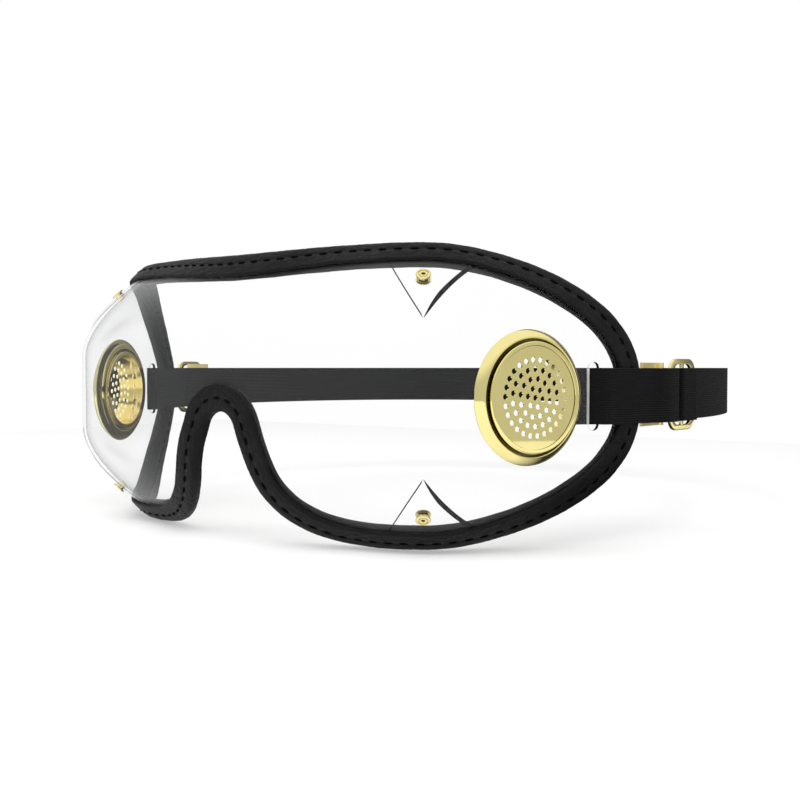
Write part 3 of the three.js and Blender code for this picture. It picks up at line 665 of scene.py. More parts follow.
def cutSheet(sheet):
    vent = circlePoints(holeSize["vent"], holeSize["ventSteps"])
    rivet = circlePoints(holeSize["rivet"], holeSize["rivetSteps"])
    slot = obroundPoints(holeSize["slotWidth"], holeSize["slotHeight"])
    straight = [int((k + 1) % (len(slot) // 2) == 0) for k in range(len(slot))]  # its two straight walls, which take the painted highlight
    slotWalls = [sheetCutEdge, sheetPaintedHighlight]
    deep, cutters = holeSize["depth"], []
    for side in sides.values():
        cutters += [prism("ventCut", vent, templeSeat(side, ventAlong), deep, [clearSheet]),
                    prism("slotCut", slot, templeSeat(side, slotAlong), deep, slotWalls, straight)]
        cutters += [prism("rivetCut", rivet, rivetSeat(side, half), holeSize["rivetDepth"], [clearSheet])
                    for half in halves.values()]
    for cutter in cutters:
        modifier = sheet.modifiers.new(cutter.name, "BOOLEAN")
        modifier.operation = "DIFFERENCE"
        modifier.solver = "EXACT"
        modifier.material_mode = "TRANSFER"
        modifier.object = cutter
    bpy.context.view_layer.update()
    sheet = bakeObject(sheet, "clearLens")
    for cutter in cutters:
        bpy.data.objects.remove(cutter)
    smoothShade(sheet, "sheet")
    return sheet


lens = cutSheet(makeSheet())
addPiece(lens, "goggles", "clear_sheet", "lens")
print("clear sheet:", len(lens.data.polygons), "faces")


# darts: at each corner the sheet laps over itself in a triangle, held by a rivet

dartSize = dict(length=17.6, frontWidth=12.8, templeWidth=19.2, belowSeam=0.6, lap=0.6, frontLine=0.45,
                lineShare=0.2, blade=1.7, bladeShare=0.55, bladeGrowth=2.6, bladePower=0.8, bow=1.3,
                frontRise=0.02, lapRise=0.14, bladeRise=(0.55, 0.06), lift=0.03, under=0.02, ramp=5,
                tip=0.015, steps=26, innerColumns=12)


def makeDart(name, side, half):  # a thin line at its front edge and a slanted cut at its temple edge, both painted dark as painted shade
    steps = dartSize["steps"]
    apex = (browHeight if half > 0 else cheekHeight) - dartSize["length"]
    share = np.maximum(np.linspace(0, 1, steps), dartSize["tip"])[:, None]
    front = -dartSize["frontWidth"] * share
    temple = dartSize["templeWidth"] * share - dartSize["bow"] * np.sin(pi * share)
    room = temple - front
    line = front + np.minimum(dartSize["frontLine"], dartSize["lineShare"] * room)
    grown = dartSize["blade"] * np.minimum(1, dartSize["bladeGrowth"] * share) ** dartSize["bladePower"]
    blade = temple - np.minimum(grown, dartSize["bladeShare"] * room)
    inner = np.linspace(0, 1, dartSize["innerColumns"])[None, :]
    across = np.concatenate([front, line + (blade - line) * inner, (blade + temple) / 2, temple], 1)
    columns = across.shape[1]
    along = side * (frontHalf + across)
    seam = np.abs(topSeam(along) if half > 0 else bottomSeam(along))
    z = half * (apex + (seam - dartSize["belowSeam"] - apex) * share)
    lapped = dartSize["lapRise"] + (1 - dartSize["lapRise"]) * inner[0]
    rise = np.concatenate([[dartSize["frontRise"]], lapped, dartSize["bladeRise"]])
    out = dartSize["lift"] + dartSize["lap"] * rise[None, :] * np.minimum(1, dartSize["ramp"] * share)
    faces = [onSheet(along, z, level).reshape(-1, 3) for level in (out, dartSize["under"] + 0 * along)]
    block = steps * columns
    top = gridFaces(steps, columns)
    # these columns take the sawn-edge material: painted shade
    edgeColumns = (0, columns - 3, columns - 2)
    rim = [i * columns for i in range(steps)] + [(steps - 1) * columns + j for j in range(1, columns)]
    rim += [i * columns + columns - 1 for i in range(steps - 2, -1, -1)] + list(range(columns - 2, 0, -1))
    wall = [(a, b, b + block, a + block) for a, b in zip(rim, rim[1:] + rim[:1])]
    ids = [int(k % (columns - 1) in edgeColumns) for k in range(len(top))] + [0] * (len(top) + len(wall))
    dart = newObject(name, np.concatenate(faces), top + turnedOver(top, block) + wall,
                     [clearLap, sheetCutEdge], faceMaterials=ids)
    smoothShade(dart, "sheet")
    return addPiece(faceOutwards(dart), "goggles", "clear_sheet")


for sideName, side in sides.items():
    for level, half in halves.items():
        makeDart(f"dartLap.{level}.{sideName}", side, half)
print("darts lapped")


# leather binding folded over the rim, with its stitches

bindingSize = dict(spacing=1.0, leather=1.0, slack=0.5, flap=2.95, innerFlap=2.2, foldCentre=3.2,
                   stitchOff=1.2, groove=0.22, grooveWidth=0.55, puff=0.2, puffWidth=7.5, wobble=0.12,
                   wobbleReach=1.2, waves=60, crease=0.05, creaseWaves=(1.7, 3.1, 0.9), upright=0.12,
                   cornerStart=(40, 62), cornerEnd=(74, 100), thinnest=0.08, seed=11)
foldCentre = bindingSize["foldCentre"]


def softNoise(count, waves, random):  # smooth noise round a closed loop
    wave = np.zeros(count)
    turns = np.arange(count) * 2 * pi / count
    for k in range(1, waves):
        wave += random.normal() * np.cos(k * turns) + random.normal() * np.sin(k * turns)
    return wave / np.abs(wave).max()


def stripPath():  # the leather's middle line in the section: outer flap, fold, inner flap
    middle = bindingSize["slack"] + bindingSize["leather"] / 2
    radius = middle + sheetWall / 2
    flat = np.linspace(-bindingSize["flap"], foldCentre, 18)
    outerFlap = np.stack([flat, 0 * flat + middle], -1)
    turns = np.linspace(pi / 2, -pi / 2, 15)[1:-1]
    fold = np.stack([foldCentre + radius * np.cos(turns), radius * np.sin(turns) - sheetWall / 2], -1)
    flat = np.linspace(foldCentre, -bindingSize["innerFlap"], 14)
    innerFlap = np.stack([flat, 0 * flat - sheetWall - middle], -1)
    return np.concatenate([outerFlap, fold, innerFlap])


def uprightCorners(loop, offRim, tangent):  # the fold stands up more where the rim turns its corners
    near = np.abs(loop[:, 0])
    corner = smoothStep(near, *bindingSize["cornerStart"]) * (1 - smoothStep(near, *bindingSize["cornerEnd"]))
    offRim = offRim + np.sign(loop[:, 1:]) * (corner * bindingSize["upright"])[:, None] * upward
    offRim = unit(offRim - tangent * np.sum(offRim * tangent, 1, keepdims=True))
    return np.cross(tangent, offRim), offRim


def makeBinding():
    random = np.random.RandomState(bindingSize["seed"])
    loop = seamLoop(bindingSize["spacing"])
    point, normal, offRim, tangent = seamFrame(loop)
    normal, offRim = uprightCorners(loop, offRim, tangent)
    count = len(loop)
    path = stripPath()
    run = unit(np.gradient(path, axis=0))
    outwards = np.stack([-run[:, 1], run[:, 0]], -1)  # towards the outside of the fold
    half = bindingSize["leather"] / 2
    travelled = distances(path)
    edge = np.minimum(travelled, travelled[-1] - travelled)
    ease = np.clip(1 - (1 - np.clip(edge / half, 0, 1)) ** 2, bindingSize["thinnest"], 1)
    rounded = half * np.sqrt(ease)
    wobble = bindingSize["wobble"] * softNoise(count, bindingSize["waves"], random)
    fromStitch = (path[:, 0] - bindingSize["stitchOff"]) / bindingSize["grooveWidth"]
    dip = bindingSize["groove"] * np.exp(-fromStitch**2) * (path[:, 0] < foldCentre)
    across = np.clip((path[:, 0] + bindingSize["flap"]) / bindingSize["puffWidth"], 0, 1)
    outside = rounded + bindingSize["puff"] * np.sin(across * pi) - dip
    swell, ripple, slant = bindingSize["creaseWaves"]
    rings = []
    for k in range(count):
        creased = bindingSize["crease"] * sin(swell * k) * np.sin(ripple * travelled + slant * k)
        shifted = path + run * (wobble[k] * np.exp(-edge / bindingSize["wobbleReach"]))[:, None]
        ring = np.concatenate([shifted + outwards * (outside + creased)[:, None],
                               (shifted - outwards * rounded[:, None])[::-1]])
        rings.append(point[k] + offRim[k] * ring[:, :1] + normal[k] * ring[:, 1:])
    size = len(rings[0])
    faces = gridFaces(count, size, True, True)
    # faces on the side against the sheet take the lighter leather, painted as light
    facesSheet = [int(k % size >= len(path)) for k in range(len(faces))]
    binding = newObject("rimBinding", np.concatenate(rings), faces, [bindingLeather, bindingInside],
                        faceMaterials=facesSheet)
    return faceOutwards(binding, "cloth"), (point, normal, offRim)


binding, seam = makeBinding()
addPiece(binding, "goggles", "binding_leather", "rim_binding")
print("binding:", len(binding.data.polygons), "faces")

stitchSize = dict(pitch=4.45, length=2.55, width=0.95, height=0.7, outside=0.02, inside=0.1)


def stitchTree():
    tree, given, result = geometryTree("seamStitches", {
        "Pitch": ("Float", 0.004), "Stitch": ("Vector", (0.001, 0.0003, 0.0002)),
        "Thread": ("Material", None)})
    node = partial(wire, tree)
    path = node("GeometryNodeMeshToCurve", {"Mesh": given["Geometry"]})
    spaced = node("GeometryNodeResampleCurve", {"Curve": path, "Length": given["Pitch"]}, mode="LENGTH")
    thread = node("GeometryNodeMeshUVSphere", {"Segments": 10, "Rings": 6, "Radius": 1.0})
    turn = node("FunctionNodeAlignRotationToVector", {"Vector": node("GeometryNodeInputTangent")}, axis="X")
    placed = node("GeometryNodeInstanceOnPoints", {"Points": spaced, "Instance": thread, "Rotation": turn,
                                                   "Scale": given["Stitch"]})
    endTree(tree, result, placed, given["Thread"])
    return tree


seamStitches = stitchTree()


def makeStitches(name, out):
    point, normal, offRim = seam
    line = point + offRim * bindingSize["stitchOff"] + normal * out
    count = len(line)
    path = newObject(name, line, [], [], edges=[(k, (k + 1) % count) for k in range(count)])
    stitches = runTree(path, seamStitches, {
        "Pitch": stitchSize["pitch"] * mm,
        "Stitch": tuple(stitchSize[k] * mm / 2 for k in ("length", "width", "height")),
        "Thread": stitchThread})
    smoothShade(stitches, "stitch")
    return addPiece(stitches, "goggles", "binding_leather")


faceOut = bindingSize["slack"] + bindingSize["leather"]
makeStitches("stitchesOutside", faceOut + stitchSize["outside"])
makeStitches("stitchesInside", -sheetWall - faceOut - stitchSize["inside"])
print("stitches sewn")


# vents: a convex ring outside, a perforated cap with its barrel, and a domed washer inside

ventSize = dict(ring=18.0, beadLow=62.0, beadHigh=22.0, beadEdge=0.3, beadLip=0.35, underside=0.05,
                groove=0.7, web=0.9, shadeLevel=1.4, cap=14.8, capFace=3.2, capEdge=0.3, capStep=0.2,
                chamfer=0.1, recess=13.6, recessEdge=0.12, recessDepth=0.3, plate=0.4, barrel=13.2, wall=0.9,
                lip=0.45, washer=16.4, washerFront=-1.05, washerHeight=0.45, washerDome=0.8, gap=0.1,
                steps=128, touching=0.01, near=0.05, hole=0.78, holeSides=18, holeDepth=2.4, pitch=2.5,
                holeRings=((1, 0), (6, 50.5), (12, 19.5), (18, 30), (26, 11.3)),
                notchTurns=(20, 160, 200, 340), notchLevel=0.75, notchSize=1.1)


def turnedPiece(name, profile, steps, materials, smooth="turned", pick=None):  # profile: radius, height
    profile = np.asarray(profile, float)
    onAxis = any(radius < 1e-6 for radius in profile[:, 0])
    turns = np.arange(steps) * 2 * pi / steps
    points = [(r * cos(t), r * sin(t), h) for t in turns for r, h in profile]
    faces = gridFaces(steps, len(profile), True, not onAxis)
    stretches = len(profile) - onAxis
    ends = [(profile[j], profile[(j + 1) % len(profile)]) for j in range(stretches)]
    chosen = [pick(*end) if pick else 0 for end in ends]
    ids = [chosen[k % stretches] for k in range(len(faces))]
    return faceOutwards(newObject(name, points, faces, materials, faceMaterials=ids), smooth)


def addBrass(obj, seat, node):
    return addPiece(setInPlace(obj, seat), "goggles", "brass", node)


def roundStretch(centre, radius, start, end, steps):
    turns = np.radians(np.linspace(start, end, steps))
    return [(centre[0] + radius * cos(t), centre[1] + radius * sin(t)) for t in turns]


bore, grooveEdge = ventSize["barrel"] + ventSize["gap"], ventSize["cap"] + ventSize["groove"]


def ringProfile():
    outer, edge, web, under = take(ventSize, "ring beadLip web underside")
    low, high = radians(ventSize["beadLow"]), radians(ventSize["beadHigh"])
    radius = (outer - grooveEdge - edge) / (sin(low) - sin(high))
    bead = [(outer - radius * (sin(low) - sin(t)),
             ventSize["beadEdge"] + radius * (cos(t) - cos(low)))
            for t in np.linspace(low, high, 20)]
    lip = roundStretch((grooveEdge + edge, bead[-1][1] - edge), edge, 90, 180, 7)
    return [(bore, under), (outer - ventSize["chamfer"], under), *bead, *lip,
            (grooveEdge, ventSize["shadeLevel"]), (grooveEdge, web), (bore, web)]


def capProfile():
    cap, face, barrel, recess, edge, step = take(ventSize, "cap capFace barrel recess capEdge capStep")
    floor = face - ventSize["recessDepth"]
    under, inside = floor - ventSize["plate"], barrel - ventSize["wall"]
    seat = ventSize["web"] + ventSize["gap"]
    back = ventSize["washerFront"] - ventSize["washerHeight"] - ventSize["gap"]
    lip = roundStretch((barrel, back - ventSize["lip"] / 2), ventSize["lip"] / 2, 90, -90, 9)
    lip = [(barrel + 2 * (r - barrel), h) for r, h in lip]
    return [
        (0, under), (inside, under), (inside, back - ventSize["lip"]), *lip[::-1], (barrel, seat),
        (cap - step, seat), (cap, seat + step), (cap, ventSize["shadeLevel"] + step),
        *roundStretch((cap - edge, face - edge), edge, 0, 90, 6), (recess + ventSize["recessEdge"], face),
        (recess, face - ventSize["chamfer"]), (recess, floor), (0, floor)]


def ringGrooveShade(start, end):  # painted shade: the ring is painted dark down in its groove
    radius, height = np.maximum(start, end) - ventSize["touching"]
    return int(radius <= grooveEdge and height <= ventSize["shadeLevel"])


def capFinishAndShade(start, end):  # bright plate, satin barrel, and painted shade on the groove and the recess step
    near = ventSize["near"]
    upright = abs(start[0] - end[0]) < near
    middle = (start[1] + end[1]) / 2
    if upright and abs(start[0] - ventSize["recess"]) < near:
        return 2
    if upright and start[0] > ventSize["recess"]:
        return 2 if middle < ventSize["shadeLevel"] else 0
    return int(upright and middle < ventSize["web"])


def washerProfile():
    front, outer = ventSize["washerFront"], ventSize["washer"]
    share = np.linspace(0, 1, 15)
    low = ventSize["washerHeight"] * (1 - ventSize["washerDome"] * (2 * share - 1) ** 2)
    return [(bore, front), *zip(bore + (outer - bore) * share, front - low), (outer, front)]


def perforationTree():
    tree, given, result = geometryTree("ventPerforations", {
        "Hole": ("Float", 0.0008), "Pitch": ("Float", 0.0025), "Depth": ("Float", 0.006),
        "Level": ("Float", 0.002), "Barrel": ("Float", 0.0127), "Notch": ("Vector", (0.002, 0.001, 0.001)),
        "Metal": ("Material", None)})
    node = partial(wire, tree)
    spots, wall = (addNode(tree, "GeometryNodeJoinGeometry") for _ in range(2))
    for ring, (count, angle) in enumerate(ventSize["holeRings"]):  # from the middle out
        radius = calc(tree, "MULTIPLY", given["Pitch"], float(ring))
        if count == 1:
            places = node("GeometryNodeMeshLine", {"Count": 1})
        else:
            places = node("GeometryNodeMeshCircle", {"Vertices": count, "Radius": radius})
        turned = (0, 0, radians(angle))
        feed(tree, spots, {0: node("GeometryNodeTransform", {"Geometry": places, "Rotation": turned})})
    for angle in np.radians(ventSize["notchTurns"]):  # small square notches in the barrel
        x, y = (calc(tree, "MULTIPLY", given["Barrel"], part(angle)) for part in (cos, sin))
        place = node("ShaderNodeCombineXYZ", {"X": x, "Y": y, "Z": ventSize["notchLevel"] * mm})
        feed(tree, wall, {0: node("GeometryNodeMeshLine", {"Count": 1, "Start Location": place})})
    drill = node("GeometryNodeMeshCylinder", {"Vertices": ventSize["holeSides"], "Radius": given["Hole"],
                                              "Depth": given["Depth"]})
    lift = node("ShaderNodeCombineXYZ", {"Z": given["Level"]})
    raised = node("GeometryNodeTransform", {"Geometry": spots.outputs[0], "Translation": lift})
    holes = node("GeometryNodeInstanceOnPoints", {"Points": raised, "Instance": drill})
    radial = node("ShaderNodeVectorMath", {0: node("GeometryNodeInputPosition"), 1: (1, 1, 0)},
                  operation="MULTIPLY")
    turn = node("FunctionNodeAlignRotationToVector", {"Vector": radial}, axis="X")
    notches = node("GeometryNodeInstanceOnPoints", {
        "Points": wall.outputs[0], "Instance": node("GeometryNodeMeshCube", {"Size": given["Notch"]}),
        "Rotation": turn})
    cut = addNode(tree, "GeometryNodeMeshBoolean", {"Mesh 1": given["Geometry"]},
                  operation="DIFFERENCE", solver="EXACT")
    for tools in (holes, notches):
        feed(tree, cut, {"Mesh 2": node("GeometryNodeRealizeInstances", {"Geometry": tools})})
    kept = [node("GeometryNodeMaterialSelection", {"Material": brass[k]}) for k in ("satin", "shade")]
    other = node("FunctionNodeBooleanMath", dict(enumerate(kept)), operation="NOR")
    endTree(tree, result, cut.outputs[0], given["Metal"], Selection=other)
    return tree


ventPerforations = perforationTree()


def makeVents():
    steps, notch = ventSize["steps"], ventSize["notchSize"] * mm
    ringMetals, capMetals = take(brass, "polished shade"), take(brass, "plate satin shade")
    drilling = {
        "Hole": ventSize["hole"] * mm, "Pitch": ventSize["pitch"] * mm, "Depth": ventSize["holeDepth"] * mm,
        "Level": (ventSize["capFace"] - ventSize["recessDepth"] - ventSize["plate"] / 2) * mm,
        "Barrel": (ventSize["barrel"] - ventSize["wall"] / 2) * mm,
        "Notch": (2 * ventSize["wall"] * mm, notch, notch), "Metal": brass["plate"]}
    for name, side in sides.items():
        seat = templeSeat(side, ventAlong)
        ring = turnedPiece(f"ventRing.{name}", ringProfile(), steps, ringMetals, "ring", ringGrooveShade)
        addBrass(ring, seat, f"vent_ring_{name}")
        cap = turnedPiece(f"ventCap.{name}", capProfile(), steps, capMetals, pick=capFinishAndShade)
        cap = runTree(cap, ventPerforations, drilling)
        smoothShade(cap, "turned")
        addBrass(cap, seat, f"vent_cap_{name}")
        washer = turnedPiece(f"ventWasher.{name}", washerProfile(), steps, [brass["polished"]])
        addBrass(washer, seat, f"vent_washer_{name}")


makeVents()
print("vents turned and drilled")


# dart rivets, clinched over washers inside

crown = rivetSize["seat"] + rivetSize["headHeight"]


def rivetProfile():
    seat, head, dimple, shank, edge = take(rivetSize, "seat head dimple shank headEdge")
    chamfer, drop, half, (floorShare, floorDepth) = take(rivetSize, "chamfer drop ringHalf dimpleFloor")
    back = rivetSize["back"] - rivetSize["washerHeight"]
    clinch, ring, low = back - rivetSize["clinch"], head - rivetSize["ring"], crown - rivetSize["ringDepth"]
    return [(0, clinch), (rivetSize["clinchFlat"], clinch + drop), (shank, back - chamfer), (shank, seat),
            (head - chamfer, seat), *roundStretch((head - edge, crown - edge), edge, 0, 90, 7),
            (ring + half, crown), (ring + chamfer, low), (ring - chamfer, low), (ring - half, crown - drop),
            (dimple + chamfer, crown - drop), (dimple, crown - rivetSize["dimpleEdge"]),
            (dimple * floorShare, crown - floorDepth), (0, crown - rivetSize["dimpleDepth"])]


def rivetDimpleShade(start, end):  # painted shade: the head is painted dark down in its dimple
    inside = max(start[0], end[0]) < rivetSize["dimple"] + rivetSize["chamfer"] / 2
    return int(inside and rivetSize["seat"] < (start[1] + end[1]) / 2 < crown - rivetSize["chamfer"])


def rivetWasherProfile():
    front, outer, edge = take(rivetSize, "back washer washerEdge")
    inner, back = rivetSize["shank"] + rivetSize["washerGap"], front - rivetSize["washerHeight"]
    return [(inner, front), (inner, back), *roundStretch((outer - edge, back + edge), edge, -90, 0, 5),
            (outer, front)]


for sideName, side in sides.items():
    for level, half in halves.items():
        seat = rivetSeat(side, half)
        rivet = turnedPiece(f"dartRivet.{level}.{sideName}", rivetProfile(), rivetSize["steps"],
                            [brass["dull"], brass["shade"]], pick=rivetDimpleShade)
        addBrass(rivet, seat, f"dart_rivet_{level}_{sideName}")
        washer = turnedPiece(f"dartWasher.{level}.{sideName}", rivetWasherProfile(), rivetSize["steps"],
                             [brass["rough"]])
        addBrass(washer, seat, f"dart_washer_{level}_{sideName}")
print("rivets set")


# elastic strap: ribbed strips that follow their paths in plan

strapSize = dict(height=15.6, thickness=1.2, ribs=24, ribDepth=0.13, ribPoints=10.0, gap=0.3, loopReach=8.4,
                 loopDepth=5.0, loopBend=1.9, slotLead=4.0, slotSlope=2.6, slideBend=5.0, tailAlong=76.0,
                 tailEndAlong=92.6, tailEndDepth=10.4, rear=217.3, rearReach=104.0, flank=30.0,
                 pastBinding=2.0, runSpacing=0.5, keeperSpacing=0.35, rearSpacing=1.5, turnSteps=14)
slideSize = dict(along=92.0, inset=0.5, angle=81, thickness=1.0, edge=0.22, height=21.0, bar=2.4, slot=4.2,
                 frameBar=2.6, centreBar=1.5, barPast=0.6, barCorner=0.3, barThinner=0.1, corner=4.2,
                 slotCorner=2.6, slotHeight=17.8, keeperWall=0.6, keeperGap=0.15)
strapGap, strapHalf, slideHalf = strapSize["gap"], strapSize["thickness"] / 2, slideSize["thickness"] / 2
slideLength = 3 * slideSize["bar"] + 2 * slideSize["slot"]
overBinding = faceOut + strapGap + strapHalf
overSlide = slideHalf + strapGap + strapHalf
keeperFace = slideHalf + strapGap + slideSize["keeperWall"]
underSlide = -keeperFace - strapGap - strapHalf
bindingRear = templeLength + foldCentre + strapSize["pastBinding"]
slideAngle = radians(slideSize["angle"])
alongSlide = np.array([cos(slideAngle), sin(slideAngle), 0])
outOfSlide = np.array([sin(slideAngle), -cos(slideAngle), 0])


def onSlide(back, out, side=1):
    middle = onTemple(slideSize["along"], -slideSize["inset"])
    return mirrored(middle + back * alongSlide + out * outOfSlide, side)


def bezier(*handles, steps=24):
    t = np.linspace(0, 1, steps)[:, None]
    points = [np.repeat(np.asarray(h, float)[None], steps, 0) for h in handles]
    while len(points) > 1:
        points = [a * (1 - t) + b * t for a, b in zip(points, points[1:])]
    return points[0]


def through(place, *stretches):  # curves from lists of (along, out) handles on the temple or the slide
    return [bezier(*(place(*handle) for handle in handles)) for handles in stretches]


def evenly(stretches, spacing):
    path = np.concatenate(stretches)
    path = path[np.concatenate([[True], np.linalg.norm(np.diff(path, axis=0), axis=1) > 1e-5])]
    travelled = distances(path)
    stops = np.linspace(0, travelled[-1], max(2, int(round(travelled[-1] / spacing)) + 1))
    return np.stack([np.interp(stops, travelled, path[:, k]) for k in range(3)], -1), travelled[-1]


def outerRun():  # from the slide's front slot over the binding to the middle of the sheet's slot
    fold = strapGap + strapHalf
    foldBack = -slideSize["bar"] / 2 - slideSize["slot"] + fold
    front, middle, bend = -slideLength / 2, -sheetWall / 2, strapSize["slideBend"]
    lead, slope = slotAlong + strapSize["slotLead"], strapSize["slotSlope"]
    over = bezier(onSlide(front, overSlide), onSlide(front - bend, overSlide),
                  onTemple(bindingRear + bend, overBinding), onTemple(bindingRear, overBinding))
    onto = through(onSlide, [(foldBack, -slideHalf - strapGap), (foldBack, overSlide - fold)],
                   [(foldBack, overSlide - fold), (foldBack, overSlide), (foldBack - fold, overSlide)],
                   [(foldBack - fold, overSlide), (front, overSlide)])
    into = through(onTemple, [(bindingRear, overBinding), (lead, overBinding)],
                   [(lead, overBinding), (slotAlong + strapSize["slotLead"] / 2, overBinding),
                    (slotAlong + slope, middle + slope), (slotAlong, middle)])
    return [*onto, over, *into]


def innerRun():  # from the slot round its turn inside to the tail
    middle, tail = -sheetWall / 2, strapSize["tailAlong"]
    slope, depth, bend = strapSize["slotSlope"], strapSize["loopDepth"], strapSize["loopBend"]
    front = slotAlong - strapSize["loopReach"]
    return through(
        onTemple,
        [(slotAlong, middle), (slotAlong - slope, middle - slope), (front, -depth / 2),
         (front, bend - depth)],
        [(front, bend - depth), (front, -depth), (front + bend, -depth)],
        [(front + bend, -depth), (tail, -depth)],
        [(tail, -depth), (strapSize["tailEndAlong"], -strapSize["tailEndDepth"])])


def rearRun():
    start, leave = onSlide(-slideLength / 2, underSlide), onSlide(slideLength / 2, underSlide)
    flank = onSlide(slideLength / 2 + strapSize["flank"], underSlide)
    rear = strapSize["rear"]
    half = bezier(leave, flank, (strapSize["rearReach"], rear, 0), (0, rear, 0), steps=200)
    left = np.concatenate([bezier(start, leave), half])
    return [left, mirrored(left[::-1], -1)]


def keeperRun():  # a flat sleeve round the slide's centre and rear bars
    wall = slideSize["keeperWall"]
    clear = slideSize["keeperGap"] + wall / 2
    front, rear = -slideSize["bar"] / 2 - clear, slideLength / 2 + clear
    deep = keeperFace - wall / 2
    turns = np.linspace(-pi / 2, pi / 2, strapSize["turnSteps"])
    rearTurn = [onSlide(rear - deep + deep * cos(t), deep * sin(t)) for t in turns]
    frontTurn = [onSlide(front + deep - deep * cos(t), -deep * sin(t)) for t in turns]
    ring = np.array(rearTurn + frontTurn)
    return [np.concatenate([ring, ring[:1]])]


def elasticTree():
    tree, given, result = geometryTree("ribbedElastic", {
        "Height": ("Float", 0.0156), "Thickness": ("Float", 0.0012), "Ribs": ("Int", 24),
        "Rib Depth": ("Float", 0.0001), "Elastic": ("Material", None)})
    node, number = partial(wire, tree), partial(calc, tree)
    halfway = 0.4999  # just short of the turn from the outer face to the inner
    store = partial(node, "GeometryNodeStoreNamedAttribute", data_type="FLOAT", domain="POINT")
    path = node("GeometryNodeMeshToCurve", {"Mesh": given["Geometry"]})
    path = node("GeometryNodeSetCurveNormal", {"Curve": path}, mode="Z_UP")
    length = node("GeometryNodeSplineParameter", None, "Length")
    path = store({"Geometry": path, "Name": "stripLength", "Value": length})
    pointCount = number("MULTIPLY", given["Ribs"], strapSize["ribPoints"])
    circle = node("GeometryNodeCurvePrimitiveCircle", {"Resolution": pointCount})
    factor = node("GeometryNodeSplineParameter", None, "Factor")
    rise = number("SUBTRACT", 1.0, number("ABSOLUTE", number("MULTIPLY_ADD", factor, 2.0, -1.0)))
    ribPlace = number("MULTIPLY", rise, given["Ribs"])
    bulge = number("ABSOLUTE", number("SINE", number("MULTIPLY", ribPlace, pi)))
    dip = number("MULTIPLY", number("SUBTRACT", bulge, 1.0), given["Rib Depth"])
    halfWall = number("MULTIPLY_ADD", given["Thickness"], 0.5, dip)
    faceSign = number("MULTIPLY_ADD", number("LESS_THAN", factor, halfway), 2.0, -1.0)
    y = number("MULTIPLY", number("SUBTRACT", rise, 0.5), given["Height"])
    place = node("ShaderNodeCombineXYZ", {"X": number("MULTIPLY", halfWall, faceSign), "Y": y})
    section = node("GeometryNodeSetPosition", {"Geometry": circle, "Position": place})
    section = store({"Geometry": section, "Name": "stripWidth", "Value": ribPlace})
    strip = node("GeometryNodeCurveToMesh", {"Curve": path, "Profile Curve": section, "Fill Caps": True})
    endTree(tree, result, strip, given["Elastic"])
    return tree


ribbedElastic = elasticTree()


def makeStrip(name, stretches, side, spacing, thickness, closed=False):
    path, length = evenly(stretches, spacing)
    if closed:
        path = path[:-1]
    count = len(path)
    edges = [(k, (k + 1) % count) for k in range(count if closed else count - 1)]
    line = newObject(name, mirrored(path, side), [], [], edges=edges)
    strip = runTree(line, ribbedElastic, {
        "Height": strapSize["height"] * mm, "Thickness": thickness * mm, "Ribs": strapSize["ribs"],
        "Rib Depth": strapSize["ribDepth"] * mm, "Elastic": keeperElasticPaintedShade if closed else strapElastic})
    return faceOutwards(strip, "cloth"), length


def makeStraps():
    wide, thick, spacing = strapSize["height"] * mm, strapSize["thickness"], strapSize["runSpacing"]
    lengths = {}
    for name, side in sides.items():
        run, lengths["outer"] = makeStrip(f"strapRun.{name}", outerRun(), side, spacing, thick)
        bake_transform(run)
        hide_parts(f"strap_loop_{name}")
        tail, lengths["tail"] = makeStrip(f"strapTail.{name}", innerRun(), side, spacing, thick)
        addPiece(tail, "goggles", "strap_elastic")
        keeper, lengths["keeper"] = makeStrip(f"strapKeeper.{name}", keeperRun(), side,
                                              strapSize["keeperSpacing"], slideSize["keeperWall"], True)
        addPiece(keeper, f"slide_{name}", "strap_elastic", f"strap_keeper_{name}")
    rear, rearLength = makeStrip("strapRear", rearRun(), 1, strapSize["rearSpacing"], thick)
    addPiece(rear, "goggles", "strap_elastic", "strap_rear")
    print("strap lengths in mm:", {k: round(float(v), 1) for k, v in {**lengths, "rear": rearLength}.items()})


makeStraps()


# slides and tail crimps

def roundedRectangle(width, height, corner, steps):
    x, y = width / 2 - corner, height / 2 - corner
    outline = []
    for centre, start in (((x, y), 0), ((-x, y), 90), ((-x, -y), 180), ((x, -y), 270)):
        outline += roundStretch(centre, corner, start, start + 90, steps)
    return np.array(outline)


def flatPlate(name, outlines, thickness):  # outlines: the rim first, then its holes
    edge = slideSize["edge"]
    data = bpy.data.curves.new(name, "CURVE")
    data.dimensions = "2D"
    data.fill_mode = "BOTH"
    data.extrude = (thickness / 2 - edge) * mm
    data.bevel_depth = edge * mm
    data.bevel_resolution = 3
    data.offset = -edge * mm
    for outline in outlines:
        spline = data.splines.new("POLY")
        spline.points.add(len(outline) - 1)
        for point, (x, y) in zip(spline.points, outline):
            point.co = (x * mm, y * mm, 0, 1)
        spline.use_cyclic_u = True
    data.materials.append(brass["polished"])
    return faceOutwards(bakeObject(bpy.data.objects.new(name, data)), "plate")


def joinMeshes(first, second):
    work = bmesh.new()
    for obj in (first, second):
        work.from_mesh(obj.data)
    work.to_mesh(first.data)
    work.free()
    bpy.data.objects.remove(second)


